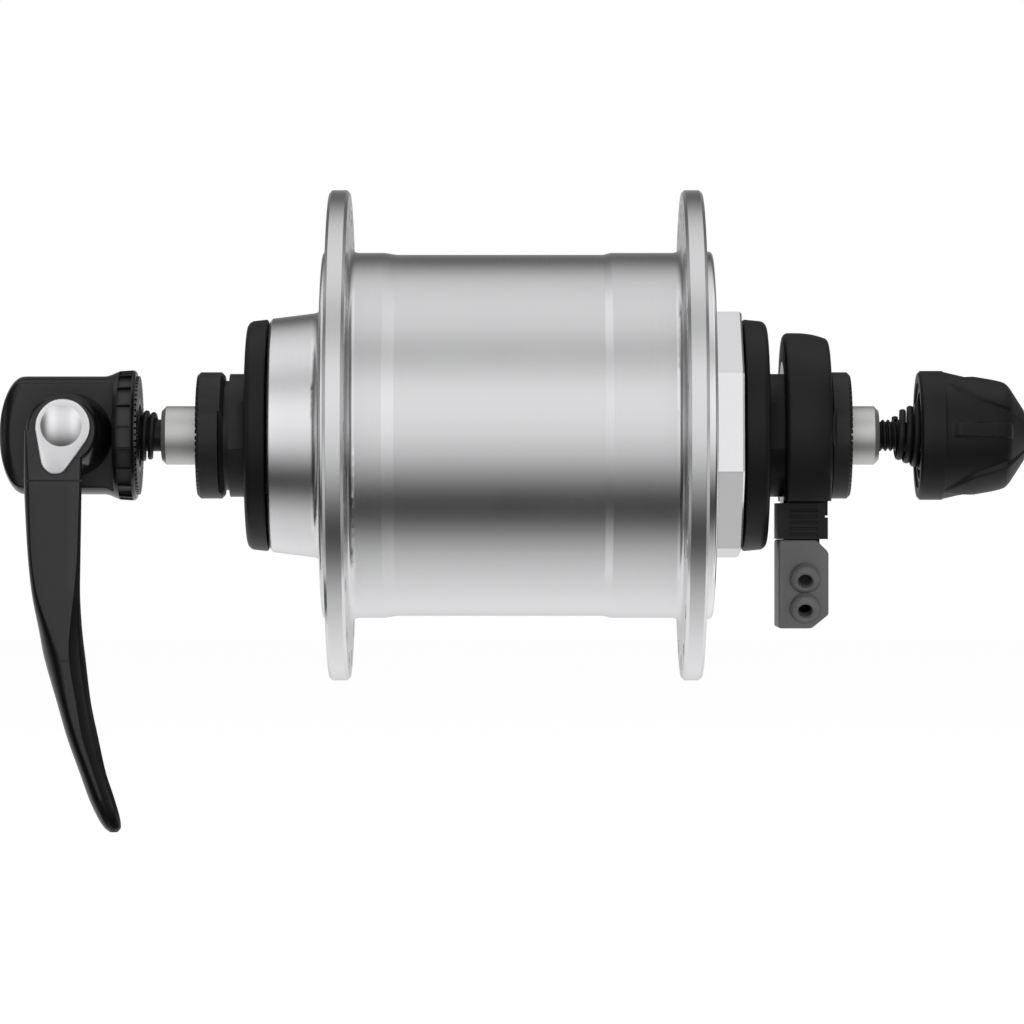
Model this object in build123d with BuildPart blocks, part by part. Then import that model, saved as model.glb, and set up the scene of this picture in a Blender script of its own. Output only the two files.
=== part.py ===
from build123d import *
import os
from math import atan2, cos, degrees, hypot, radians, sin

os.makedirs("parts", exist_ok=True)

# Frame: the axle lies along Y, +Y is the lever end and -Y the connector end, +X is forward, +Z is up.
# The origin is on the axle line, midway between the outer faces of the two locknuts.
# All lengths are in millimetres and all angles in degrees.

# Clearances that fits and gaps share
close_fit = 0.02
running_gap = 0.3
overrun = 2.0

# Axial stack from the hub centre out; each side adds up to half of 100 mm over the locknuts
left_flange_to_centre = 28.15
right_flange_to_centre = 25.7
flange_t = 3.1
left_step_t = 1.05
neck_t = 8.05
cap_shoulder_t = 1.62
octagon_t = 4.33
left_cover_t = 3.2
right_cover_t = 3.7
left_head_t = 2.7
right_head_t = 2.4
washer_t = 0.8
terminal_ring_t = 7.05
left_locknut_t = 4.2
right_locknut_t = 3.35

# Hollow axle and the rod through it
axle_r = 4.5
axle_left_stub = 5.5
axle_right_stub = 4.4
axle_tip_round = 0.7
undercut_r = 4.2
undercut_w = 1.0
rod_r = 2.45
rod_gap = 0.35

# Locknuts and washer
locknut_r = 9.7
left_nut_flats = 14.0
left_flats_turn = 22.0
right_nut_flats = 18.6
right_flats_turn = -5.0
nut_flats_w = 0.8
locknut_chamfer = 0.5
serration_count = 60
serration_w = 0.32
serration_depth = 0.35
serration_margin = 0.8
washer_r = 8.4

# Cones, balls and cups
ball_r = 2.38
ball_count = 10
ball_gap = 0.05
pitch_r = 9.6
bearing_depth = 5.2
cone_nose = 2.2
cone_collar = 0.8
cone_shank_r = 7.8
cone_head_r = 9.44
cone_flats = 17.5
cone_flats_turn = 9.0
cone_race_angles = (200, 158, 115)
cup_race_angles = (-75, -30, 15)
cup_r = 13.6
cup_back = 3.6
cup_front = 2.6
cage_wall = 1.0
cage_front = 3.2
cage_back = 1.2
seal_t = 1.5
seal_gap = 0.15

# Dust covers
cover_r = 17.8
cover_wall = 1.2
cover_round = 1.2
cover_taper = 0.35
cover_bead = 0.35

# Hub shell
barrel_r = 28.0
waist_depth = 0.3
shell_wall = 2.5
spoke_rise = 6.5
spoke_land = 3.1
flange_edge = 0.45
spoke_hole_r = 1.3
spoke_hole_edge = 0.3
spoke_count = 18
left_land = 5.3
left_taper = 1.9
right_land = 10.8
right_taper = 1.2
barrel_fillet = 1.4
left_web_t = 3.9
step_rise = 0.2
step_edge = 0.6
neck_end_r = 17.9
neck_root_r = 18.9
neck_fillet = 1.6
neck_edge = 0.4
race_hole_r = 10.6

# Right end cap
octagon_flats = 36.3
octagon_turn = 17.0
octagon_edge = 0.3
cap_web_t = 2.5
cap_spigot = 5.0
cap_spigot_wall = 3.0
cap_boss_r = 16.5
cap_boss_t = 1.7

# Generator inside the barrel
stator_t = 32.0
yoke_disc_t = 2.6
claw_count = 14
claw_angle = 8.6
claw_t = 1.6
claw_end_gap = 1.0
air_gap = 0.4
magnet_t = 2.0
magnet_arcs = 4
magnet_joint = 1.2
flux_ring_t = 2.2
flux_ring_extra = 1.0
core_share = 0.467
bobbin_wall = 0.8
bobbin_flange_t = 1.0
bobbin_flange_gap = 0.5
coil_gap = 0.8
stator_nut_flats = 15.0
stator_nut_t = 3.0

# Lead wire and its groove
wire_r = 0.45
wire_gap = 0.12
lead_over_core = 3.5
lead_turn_in = 0.8
lead_turn_out = 3.5
lead_arc_share = 0.45

# Terminal ring, its plate and contact
terminal_r = 15.7
terminal_crown = 1.0
terminal_flat = 2.2
terminal_edge = 0.9
terminal_foot = 10.1
neck_half_x = 5.6
neck_drop = 2.2
tongue_half_x = 4.2
tongue_t = 3.6
tongue_drop = 3.0
plate_r = 11.3
plate_t = 0.5
tab_half_x = 2.2
strip_t = 0.4

# Plug and plug cap
plug_half_x = 7.2
plug_top_gap = 0.3
plug_inboard_wall = 0.6
plug_tab_gap = 0.2
plug_t = 7.6
plug_bevel_y = 1.7
plug_bevel_x = 1.8
plug_grip_t = 5.5
plug_slide_gap = 0.3
grip_rib_count = 5
grip_groove_h = 0.4
grip_groove_depth = 0.3
core_inset_x = 1.6
core_inset_y = 1.3
core_length = 10.0
plug_strip_t = 0.3
cap_height = 13.6
cap_gap = 0.1
cap_floor = 2.4
cap_top_cut = 1.9
cap_bottom_cut_y = 2.6
cap_bottom_cut_z = 2.1
boss_r = 2.2
boss_t = 0.6
lead_hole_r = 1.06
upper_boss_drop = 6.4
boss_spacing = 4.6
boss_from_inboard = 3.95
latch_h = 4.0
latch_half_x = 2.6
latch_depth = 0.5

# Quick-release skewer
left_clamp_gap = 8.9
right_clamp_gap = 10.4
rod_end_reach = 10.1
pivot_from_face = 10.3
housing_r = 9.06
housing_end = 11.2
dome_t = 3.9
flare_r = 10.0
flare_start = 5.4
flare_full = 2.25
flare_end = 0.4
flare_lip_round = 0.6
housing_flat_x = 4.2
housing_flat_start = 3.7
pocket_count = 18
pocket_w = 3.0
pocket_floor_r = 9.2
pocket_start = 0.9
pocket_length = 2.1
slot_half_z = 6.3
slot_end_wall = 4.0
ring_recess_t = 0.4
ring_r = 9.1
ring_bore_r = 4.9
spring_seat_depth = 3.0

# Cam shaft, its clip and the eye of the rod
cam_r = 3.2
cam_throw = 0.9
cam_slack = 0.25
front_journal_r = 4.3
back_journal_r = 2.2
spigot_r = 3.0
spigot_length = 4.3
back_journal_length = 5.0
clip_groove_r = 1.75
clip_t = 0.6
clip_r = 3.4
clip_well_r = 3.9
clip_seat = 3.2
clip_mouth = 2.8
eye_half_x = 2.4
eye_wall_y = 1.7
eye_wall_z = 1.5

# Lever
lever_length = 60.5
lever_width = 8.5
lever_centre = 2.31
lever_bow = 8.4
lever_depth = 17.5
lever_front_x = 13.0
boss_base_r = 6.4
boss_front_r = 5.4
boss_shift_y = 0.7
boss_shift_z = 0.6
boss_edge = 0.5
groove_drop = 6.9
groove_w = 0.35
groove_depth = 0.3
sweep_gap = 1.0
# Down the arm: drop, bow, width, front and back of the section, and its corner, each as a share
lever_section_shares = [
    (0.00, 0.00, 0.98, 0.00, 0.46, 0.12),
    (0.12, 0.00, 0.99, 0.00, 0.46, 0.12),
    (0.22, 0.00, 0.94, 0.00, 0.46, 0.14),
    (0.33, 0.01, 0.84, 0.00, 0.68, 0.18),
    (0.46, 0.08, 0.72, 0.00, 0.91, 0.24),
    (0.61, 0.235, 0.61, 0.00, 1.00, 0.32),
    (0.76, 0.47, 0.50, 0.01, 1.00, 0.38),
    (0.87, 0.715, 0.42, 0.04, 0.97, 0.42),
    (0.94, 0.89, 0.39, 0.09, 0.92, 0.44),
    (1.00, 1.06, 0.27, 0.22, 0.79, 0.46),
]
lever_cap_r = 4.15
lever_cap_tail_r = 1.75
lever_cap_t = 1.6
lever_cap_proud = 0.4
lever_cap_shift_z = 1.05
lever_cap_tail_y = 1.7
lever_cap_tail_z = 4.4
dome_r = 3.15
dome_rise = 0.6

# Conical springs
left_spring_small_r = 3.05
left_spring_large_r = 4.4
left_spring_tip = 2.5
spring_wire_r = 0.38
left_spring_turns = 5
right_spring_small_r = 3.2
right_spring_large_r = 6.2
right_spring_tip = 3.9
right_spring_turns = 5
flat_wire_w = 1.0
flat_wire_t = 0.6

# Adjusting nut
nut_band_r = 9.9
nut_band_t = 3.8
nut_shoulder_r = 8.25
nut_shoulder = 13.4
nut_nose_r = 3.9
nut_length = 16.3
nut_scoops = 3
nut_edge = 0.4
nut_shoulder_round = 1.2
scoop_turn = 55.0
scoop_depth = 0.9
scoop_start_angles = (60.0, 49.0)
scoop_end_angles = (35.0, 28.0)
rib_w = 1.9
rib_sink = 0.2
rib_start = 1.6
nut_ring_r = 8.1
nut_ring_t = 1.2
nut_ring_sink = 0.3
nut_ring_bore_r = 6.7
nut_well_r = 6.7
nut_well_t = 3.2
insert_r = 4.6
insert_t = 7.0
thread_gap = 0.06
nut_bore_end = 1.3

# Places along the axle, worked out from the stack
y_left_flange = left_flange_to_centre + flange_t / 2
y_left_step = y_left_flange + left_step_t
y_shell_end = y_left_step + neck_t
y_left_cover = y_shell_end + running_gap
y_left_head = y_left_cover + left_cover_t
y_left_washer = y_left_head + left_head_t
y_left_nut = y_left_washer + washer_t
y_left_face = y_left_nut + left_locknut_t
y_left_tip = y_left_face + axle_left_stub
y_left_balls = y_shell_end - bearing_depth

y_right_flange = -(right_flange_to_centre + flange_t / 2)
y_right_step = y_right_flange - cap_shoulder_t
y_cap_end = y_right_step - octagon_t
y_right_cover = y_cap_end - running_gap
y_right_head = y_right_cover - right_cover_t
y_terminal = y_right_head - right_head_t
y_right_nut = y_terminal - terminal_ring_t
y_right_face = y_right_nut - right_locknut_t
y_right_tip = y_right_face - axle_right_stub
y_right_balls = y_cap_end + bearing_depth

y_stator = (left_flange_to_centre - right_flange_to_centre) / 2
y_stator_left = y_stator + stator_t / 2
y_stator_right = y_stator - stator_t / 2

y_housing_face = y_left_face + left_clamp_gap
y_pivot = y_housing_face + pivot_from_face
y_housing_end = y_pivot + housing_end
y_nut_face = y_right_face - right_clamp_gap

# Radii, worked out from the sizes above
waist_r = barrel_r - waist_depth
step_r = barrel_r + step_rise
shell_bore_r = barrel_r - shell_wall
spoke_circle_r = barrel_r + spoke_rise
flange_r = spoke_circle_r + spoke_land
axle_bore_r = rod_r + rod_gap
axle_fit_r = axle_r + close_fit
race_r = ball_r + ball_gap
flux_ring_r = shell_bore_r - close_fit
flux_ring_bore_r = flux_ring_r - flux_ring_t
magnet_r = flux_ring_bore_r - close_fit
magnet_bore_r = magnet_r - magnet_t
claw_r = magnet_bore_r - air_gap
claw_bore_r = claw_r - claw_t
core_r = core_share * claw_bore_r
lead_drop = core_r + lead_over_core
wire_z = -(axle_r - wire_gap - wire_r)
groove_floor_r = axle_r - 2 * wire_gap - 2 * wire_r


def across(y):
    """The plane square to the axle at a place along it: sketches show X and Z, and extrude to -Y."""
    return Plane.XZ.offset(-y)


def turn(points, mode=Mode.ADD):
    """Adds or cuts a body turned about the axle line; each point is its radius and place along it."""
    with BuildSketch(Plane.XY) as profile:
        with BuildLine():
            Polyline(*points, close=True)
        make_face()
    revolve(profile.sketch, axis=Axis.Y, mode=mode)


def turn_rounded(points, rounded, radius, mode=Mode.ADD):
    """The same, with the corners at the given points rounded first."""
    with BuildSketch(Plane.XY) as profile:
        with BuildLine():
            Polyline(*points, close=True)
        make_face()
        corners = [profile.vertices().sort_by_distance(place)[0] for place in rounded]
        fillet(corners, radius)
    revolve(profile.sketch, axis=Axis.Y, mode=mode)


def ring(inner_r, outer_r, y_from, y_to, mode=Mode.ADD):
    """Adds or cuts a plain ring or disc about the axle line."""
    turn([(inner_r, y_from), (outer_r, y_from), (outer_r, y_to), (inner_r, y_to)], mode)


def slope(rise, run):
    """The angle of a slope, in degrees."""
    return degrees(atan2(rise, run))


def ball_places(y_balls):
    """The places of one set of balls, each turned so that its own Z points away from the axle line."""
    places = []
    for number in range(ball_count):
        angle = 360 / ball_count * number
        centre = (pitch_r * cos(radians(angle)), y_balls, pitch_r * sin(radians(angle)))
        places.append(Location(centre, (0, 90 - angle, 0)))
    return places


def race_point(y_balls, side, angle):
    """A point of a race: the angle is 0 away from the axle line and 90 towards that end of the axle."""
    along = side * race_r * sin(radians(angle))
    return (pitch_r + race_r * cos(radians(angle)), y_balls + along)


def serrate(y_face, outward, inner_r, outer_r):
    """Cuts radial teeth into a face; outward is 1 for a face towards +Y and -1 for one towards -Y."""
    y_start = y_face + serration_depth if outward < 0 else y_face + overrun
    depth = serration_depth + overrun
    with BuildSketch(across(y_start)) as teeth:
        with PolarLocations((inner_r + outer_r) / 2, serration_count):
            Rectangle(outer_r - inner_r, serration_w)
    extrude(teeth.sketch, amount=depth, mode=Mode.SUBTRACT)


def finish(piece, label):
    """Labels a finished piece and writes it."""
    piece.part.label = label
    export_step(piece.part, f"parts/{label}.step")


# Hollow axle, with the groove for the lead wire on its underside
y_groove_start = y_stator_right + running_gap
y_groove_end = y_terminal - plate_t - tongue_t
with BuildPart() as hollow_axle:
    ring(axle_bore_r, axle_r, y_right_tip, y_left_tip)
    tips = hollow_axle.edges().filter_by(GeomType.CIRCLE).filter_by(lambda edge: edge.radius > axle_bore_r)
    chamfer(tips, axle_tip_round)
    ring(undercut_r, axle_r + overrun, y_left_face - undercut_w, y_left_face, Mode.SUBTRACT)
    ring(undercut_r, axle_r + overrun, y_right_face, y_right_face + undercut_w, Mode.SUBTRACT)
    with BuildSketch(across(y_groove_start)) as groove:
        with Locations((0, -groove_floor_r - overrun / 2)):
            Rectangle(2 * (wire_r + wire_gap), overrun)
    extrude(groove.sketch, amount=y_groove_start - y_groove_end, mode=Mode.SUBTRACT)
finish(hollow_axle, "hollow_axle")


def locknut(y_in, y_out, flats, flats_turn):
    """A round nut with chamfered edges, a serrated outer face and two wrench flats along its inner edge."""
    outward = 1 if y_out > y_in else -1
    edge = outward * locknut_chamfer
    with BuildPart() as nut:
        chamfered = [
            (axle_fit_r, y_in),
            (locknut_r - locknut_chamfer, y_in),
            (locknut_r, y_in + edge),
            (locknut_r, y_out - edge),
            (locknut_r - locknut_chamfer, y_out),
            (axle_fit_r, y_out),
        ]
        turn(chamfered)
        with BuildSketch(across(max(y_in, y_in + outward * nut_flats_w))) as wrench_flats:
            with PolarLocations((flats + overrun + locknut_r) / 2, 2, start_angle=flats_turn):
                Rectangle(overrun + locknut_r, 2 * locknut_r)
        extrude(wrench_flats.sketch, amount=nut_flats_w, mode=Mode.SUBTRACT)
        serrate(y_out, outward, axle_r + serration_margin, locknut_r + overrun)
    return nut


left_locknut = locknut(y_left_nut, y_left_face, left_nut_flats, left_flats_turn)
finish(left_locknut, "left_locknut")
right_locknut = locknut(y_right_nut, y_right_face, right_nut_flats, right_flats_turn)
finish(right_locknut, "right_locknut")

with BuildPart() as left_washer:
    ring(axle_fit_r, washer_r, y_left_washer, y_left_nut)
finish(left_washer, "left_washer")


def cone(side, y_balls, y_cover_out, y_head_out):
    """A bearing cone: ball race, shank for the dust cover and a head with two wrench flats."""
    start, middle, end = (race_point(y_balls, side, angle) for angle in cone_race_angles)
    y_nose = y_balls - side * cone_nose
    y_collar = end[1] + side * cone_collar
    y_shank = y_collar + side * cone_collar
    with BuildPart() as piece:
        with BuildSketch(Plane.XY) as profile:
            with BuildLine():
                ThreePointArc(start, middle, end)
                Polyline(
                    end,
                    (end[0], y_collar),
                    (cone_shank_r, y_shank),
                    (cone_shank_r, y_cover_out),
                    (cone_head_r, y_cover_out),
                    (cone_head_r, y_head_out),
                    (axle_fit_r, y_head_out),
                    (axle_fit_r, y_nose),
                    (start[0], y_nose),
                    start,
                )
            make_face()
        revolve(profile.sketch, axis=Axis.Y)
        head_t = abs(y_head_out - y_cover_out)
        with BuildSketch(across(max(y_head_out, y_cover_out))) as flats:
            Circle(cone_head_r + overrun)
            Rectangle(cone_flats, 2 * cone_head_r, rotation=-cone_flats_turn, mode=Mode.SUBTRACT)
        extrude(flats.sketch, amount=head_t, mode=Mode.SUBTRACT)
    return piece


left_cone = cone(1, y_left_balls, y_left_head, y_left_washer)
finish(left_cone, "left_cone")
right_cone = cone(-1, y_right_balls, y_right_head, y_terminal)
finish(right_cone, "right_cone")


def dust_cover(y_in, y_out):
    """A hollow cover on the cone's shank, open towards the hub, with a rounded outer edge."""
    outward = 1 if y_out > y_in else -1
    bore = cone_shank_r + close_fit
    with BuildPart() as cover:
        turn_rounded(
            [(bore, y_in), (cover_r, y_in), (cover_r - cover_taper, y_out), (bore, y_out)],
            [(cover_r - cover_taper, y_out)],
            cover_round,
        )
        rim = cover.edges().filter_by(GeomType.CIRCLE).sort_by_distance((cover_r, y_in, 0))[0]
        fillet(rim, cover_bead)
        y_floor = y_out - outward * cover_wall
        y_open = y_in - outward * overrun
        ring(bore + cover_wall, cover_r - cover_wall - cover_bead, y_floor, y_open, Mode.SUBTRACT)
    return cover


left_dust_cover = dust_cover(y_left_cover, y_left_head)
finish(left_dust_cover, "left_dust_cover")
right_dust_cover = dust_cover(y_right_cover, y_right_head)
finish(right_dust_cover, "right_dust_cover")


def bearing_cup(side, y_balls):
    """A cup pressed into its seat, with the race that the balls run in."""
    start, middle, end = (race_point(y_balls, side, angle) for angle in cup_race_angles)
    y_back = y_balls - side * cup_back
    y_front = y_balls + side * cup_front
    with BuildPart() as cup:
        with BuildSketch(Plane.XY) as profile:
            with BuildLine():
                ThreePointArc(start, middle, end)
                Polyline(
                    end,
                    (end[0], y_front),
                    (cup_r - close_fit, y_front),
                    (cup_r - close_fit, y_back),
                    (start[0], y_back),
                    start,
                )
            make_face()
        revolve(profile.sketch, axis=Axis.Y)
    return cup


left_bearing_cup = bearing_cup(1, y_left_balls)
finish(left_bearing_cup, "left_bearing_cup")
right_bearing_cup = bearing_cup(-1, y_right_balls)
finish(right_bearing_cup, "right_bearing_cup")


def ball_set(y_balls):
    """The loose balls of one bearing."""
    with BuildPart() as balls:
        with Locations(*ball_places(y_balls)):
            Sphere(ball_r)
    return balls


left_balls = ball_set(y_left_balls)
finish(left_balls, "left_balls")
right_balls = ball_set(y_right_balls)
finish(right_balls, "right_balls")


def ball_cage(side, y_balls):
    """A crown cage whose pockets are open towards the hub centre."""
    y_band = y_balls + side * cage_front
    y_open = y_balls - side * cage_back
    with BuildPart() as cage:
        ring(pitch_r - cage_wall / 2, pitch_r + cage_wall / 2, y_band, y_open)
        with Locations(*ball_places(y_balls)):
            Cylinder(ball_r + ball_gap, cage_wall + overrun, mode=Mode.SUBTRACT)
    return cage


left_cage = ball_cage(1, y_left_balls)
finish(left_cage, "left_cage")
right_cage = ball_cage(-1, y_right_balls)
finish(right_cage, "right_cage")


def seal(side, y_balls):
    """A rubber ring in front of the cup, with its lip close to the cone's shank."""
    y_in = y_balls + side * (cage_front + running_gap)
    y_out = y_in + side * seal_t
    with BuildPart() as piece:
        ring(cone_shank_r + cone_collar + seal_gap, cup_r - close_fit, y_in, y_out)
    return piece


left_seal = seal(1, y_left_balls)
finish(left_seal, "left_seal")
right_seal = seal(-1, y_right_balls)
finish(right_seal, "right_seal")

# Hub shell: neck with the left bearing seat, both flanges, and the barrel, open at the right
y_left_inner = y_left_flange - flange_t
y_right_inner = y_right_flange + flange_t
y_web = y_left_step - left_web_t
with BuildPart() as hub_shell:
    with BuildSketch(Plane.XY) as profile:
        with BuildLine():
            Polyline(
                (cup_r, y_shell_end),
                (neck_end_r, y_shell_end),
                (neck_root_r, y_left_step),
                (step_r, y_left_step),
                (step_r, y_left_flange),
                (flange_r, y_left_flange),
                (flange_r, y_left_inner),
                (barrel_r, y_left_inner),
                (barrel_r, y_left_inner - left_land),
                (waist_r, y_left_inner - left_land - left_taper),
                (waist_r, y_right_inner + right_land + right_taper),
                (barrel_r, y_right_inner + right_land),
                (barrel_r, y_right_inner),
                (flange_r, y_right_inner),
                (flange_r, y_right_flange),
                (shell_bore_r, y_right_flange),
                (shell_bore_r, y_web),
                (race_hole_r, y_web),
                (race_hole_r, y_left_balls - cup_back),
                (cup_r, y_left_balls - cup_back),
                close=True,
            )
        make_face()
        fillet(profile.vertices().sort_by_distance((neck_root_r, y_left_step))[0], neck_fillet)
        fillet(profile.vertices().sort_by_distance((barrel_r, y_left_inner))[0], barrel_fillet)
        fillet(profile.vertices().sort_by_distance((barrel_r, y_right_inner))[0], barrel_fillet)
        chamfer(profile.vertices().sort_by_distance((neck_end_r, y_shell_end))[0], neck_edge)
        fillet(profile.vertices().sort_by_distance((step_r, y_left_step))[0], step_edge)
        rims = [(flange_r, y) for y in (y_left_flange, y_left_inner, y_right_inner, y_right_flange)]
        chamfer([profile.vertices().sort_by_distance(rim)[0] for rim in rims], flange_edge)
    revolve(profile.sketch, axis=Axis.Y)
    for y_flange, first in ((y_left_flange, 0), (y_right_inner, 180 / spoke_count)):
        with BuildSketch(across(y_flange)) as holes:
            with PolarLocations(spoke_circle_r, spoke_count, start_angle=first):
                Circle(spoke_hole_r)
        extrude(holes.sketch, amount=flange_t, mode=Mode.SUBTRACT)
    circles = hub_shell.edges().filter_by(GeomType.CIRCLE)
    chamfer(circles.filter_by(lambda edge: edge.radius < 2 * spoke_hole_r), spoke_hole_edge)
finish(hub_shell, "hub_shell")

# Right end cap: spigot in the barrel, shoulder on the flange, octagon and the right bearing seat
y_cap_web = y_right_step + cap_web_t + cap_shoulder_t
y_cap_boss = y_cap_web + cap_boss_t
with BuildPart() as right_end_cap:
    turn_rounded(
        [
            (race_hole_r, y_right_step),
            (step_r, y_right_step),
            (step_r, y_right_flange),
            (shell_bore_r - close_fit, y_right_flange),
            (shell_bore_r - close_fit, y_right_flange + cap_spigot),
            (shell_bore_r - cap_spigot_wall, y_right_flange + cap_spigot),
            (shell_bore_r - cap_spigot_wall, y_cap_web),
            (cap_boss_r, y_cap_web),
            (cap_boss_r, y_cap_boss),
            (race_hole_r, y_cap_boss),
        ],
        [(step_r, y_right_step)],
        step_edge,
    )
    with BuildSketch(across(y_right_step)) as octagon:
        RegularPolygon(octagon_flats / 2, 8, major_radius=False, rotation=octagon_turn)
    extrude(octagon.sketch, amount=octagon_t)
    outer_face = right_end_cap.faces().filter_by(Axis.Y).sort_by(Axis.Y)[0]
    chamfer(outer_face.edges(), octagon_edge)
    ring(0, race_hole_r, y_cap_boss, y_cap_end, Mode.SUBTRACT)
    ring(0, cup_r, y_right_balls + cup_back, y_cap_end - overrun, Mode.SUBTRACT)
finish(right_end_cap, "right_end_cap")

# Flux ring and magnets, which turn with the barrel
with BuildPart() as flux_ring:
    ring(flux_ring_bore_r, flux_ring_r, y_stator_right - flux_ring_extra, y_stator_left + flux_ring_extra)
finish(flux_ring, "flux_ring")

with BuildPart() as ring_magnets:
    ring(magnet_bore_r, magnet_r, y_stator_right, y_stator_left)
    with BuildSketch(across(y_stator_left)) as joints:
        with PolarLocations(magnet_r, magnet_arcs, start_angle=180 / magnet_arcs):
            Rectangle(2 * magnet_t + overrun, magnet_joint)
    extrude(joints.sketch, amount=stator_t, mode=Mode.SUBTRACT)
finish(ring_magnets, "ring_magnets")


def yoke(side, first_angle):
    """A disc with claws along its rim, which reach between the claws of the other yoke."""
    y_outer = y_stator + side * stator_t / 2
    y_inner = y_outer - side * yoke_disc_t
    y_claw = y_stator - side * (stator_t / 2 - yoke_disc_t - claw_end_gap)
    claw_w = 2 * claw_r * sin(radians(claw_angle / 2))
    with BuildPart() as piece:
        ring(axle_fit_r, claw_r, y_outer, y_inner)
        with BuildSketch(across(max(y_inner, y_claw))) as claws:
            with PolarLocations((claw_bore_r + claw_r) / 2, claw_count, start_angle=first_angle):
                Rectangle(2 * claw_t, claw_w)
            with BuildSketch(mode=Mode.INTERSECT):
                Circle(claw_r)
                Circle(claw_bore_r, mode=Mode.SUBTRACT)
        extrude(claws.sketch, amount=abs(y_inner - y_claw))
        if side < 0:
            with BuildSketch(across(y_inner)) as lead_hole:
                with Locations((0, -lead_drop)):
                    Circle(wire_r + running_gap)
            extrude(lead_hole.sketch, amount=yoke_disc_t, mode=Mode.SUBTRACT)
    return piece


left_yoke = yoke(1, 0)
finish(left_yoke, "left_yoke")
right_yoke = yoke(-1, 180 / claw_count)
finish(right_yoke, "right_yoke")

y_core_left = y_stator_left - yoke_disc_t
y_core_right = y_stator_right + yoke_disc_t
with BuildPart() as stator_core:
    ring(axle_fit_r, core_r, y_core_right, y_core_left)
finish(stator_core, "stator_core")

bobbin_r = core_r + close_fit + bobbin_wall
bobbin_flange_r = claw_bore_r - bobbin_flange_gap
with BuildPart() as bobbin:
    ring(core_r + close_fit, bobbin_r, y_core_right, y_core_left)
    ring(bobbin_r, bobbin_flange_r, y_core_left - bobbin_flange_t, y_core_left)
    ring(bobbin_r, bobbin_flange_r, y_core_right, y_core_right + bobbin_flange_t)
    with BuildSketch(across(y_core_right + bobbin_flange_t)) as lead_hole:
        with Locations((0, -lead_drop)):
            Circle(wire_r + wire_gap)
    extrude(lead_hole.sketch, amount=bobbin_flange_t, mode=Mode.SUBTRACT)
finish(bobbin, "bobbin")

with BuildPart() as coil_winding:
    ring(
        bobbin_r + close_fit,
        bobbin_flange_r - coil_gap,
        y_core_right + bobbin_flange_t,
        y_core_left - bobbin_flange_t,
    )
finish(coil_winding, "coil_winding")


def stator_nut(y_from, y_to):
    """A thin hexagon nut that clamps the stator on the axle."""
    with BuildPart() as nut:
        with BuildSketch(across(max(y_from, y_to))) as hexagon:
            RegularPolygon(stator_nut_flats / 2, 6, major_radius=False)
            Circle(axle_fit_r, mode=Mode.SUBTRACT)
        extrude(hexagon.sketch, amount=stator_nut_t)
    return nut


left_stator_nut = stator_nut(y_stator_left, y_stator_left + stator_nut_t)
finish(left_stator_nut, "left_stator_nut")
right_stator_nut = stator_nut(y_stator_right - stator_nut_t, y_stator_right)
finish(right_stator_nut, "right_stator_nut")

# Terminal ring: a crowned ring with a flat foot, a neck under it and a tongue for the plug
y_tab = y_terminal - plate_t
y_neck_out = y_right_nut + running_gap
y_tongue = y_tab - tongue_t
z_neck = -(terminal_foot + neck_drop)
z_tongue = z_neck - tongue_drop
y_wire_end = y_tab - tongue_t / 2 - 2 * wire_r
y_wire_way = y_wire_end - wire_r - wire_gap
z_wire_end = z_neck + strip_t
y_crown = y_terminal - terminal_flat
crown_end = (terminal_r - terminal_crown, y_right_nut)
crown_middle = (terminal_r - terminal_crown / 4, (y_crown + y_right_nut) / 2)
with BuildPart() as terminal_ring:
    with BuildSketch(Plane.XY) as profile:
        with BuildLine():
            Polyline(
                (terminal_r, y_crown),
                (terminal_r, y_terminal),
                (axle_fit_r, y_terminal),
                (axle_fit_r, y_right_nut),
                crown_end,
            )
            ThreePointArc(crown_end, crown_middle, (terminal_r, y_crown))
        make_face()
        fillet(profile.vertices().sort_by_distance((terminal_r, y_terminal))[0], terminal_edge)
        fillet(profile.vertices().sort_by_distance(crown_end)[0], terminal_edge)
    revolve(profile.sketch, axis=Axis.Y)
    with BuildSketch(across(y_terminal)) as foot:
        with Locations((0, -terminal_foot - terminal_r / 2)):
            Rectangle(2 * terminal_r, terminal_r)
    extrude(foot.sketch, amount=terminal_ring_t, mode=Mode.SUBTRACT)
    with BuildSketch(Plane.XY.offset(-terminal_foot)) as neck:
        with Locations((0, (y_tab + y_neck_out) / 2)):
            Rectangle(2 * neck_half_x, y_tab - y_neck_out)
    extrude(neck.sketch, amount=-neck_drop)
    with BuildSketch(Plane.XY.offset(z_neck)) as tongue:
        with Locations((0, (y_tab + y_tongue) / 2)):
            Rectangle(2 * tongue_half_x, y_tab - y_tongue)
    extrude(tongue.sketch, amount=-tongue_drop)
    with BuildSketch(across(y_terminal)) as plate_recess:
        Circle(plate_r + close_fit)
        with Locations((0, -plate_r / 2)):
            Rectangle(2 * (tab_half_x + close_fit), plate_r)
    extrude(plate_recess.sketch, amount=plate_t, mode=Mode.SUBTRACT)
    with BuildSketch(Plane.XY) as wire_way:
        with Locations((0, (y_tab + y_wire_way) / 2)):
            Rectangle(2 * (wire_r + wire_gap), y_tab - y_wire_way)
    extrude(wire_way.sketch, amount=z_wire_end, mode=Mode.SUBTRACT)
    with BuildSketch(Plane.XY.offset(z_wire_end)) as foot_way:
        with Locations((0, (y_wire_end + y_tongue) / 2 - wire_r)):
            Rectangle(2 * (tab_half_x + close_fit), y_wire_end - y_tongue + 4 * wire_r)
    extrude(foot_way.sketch, amount=-strip_t, mode=Mode.SUBTRACT)
finish(terminal_ring, "terminal_ring")

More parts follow.
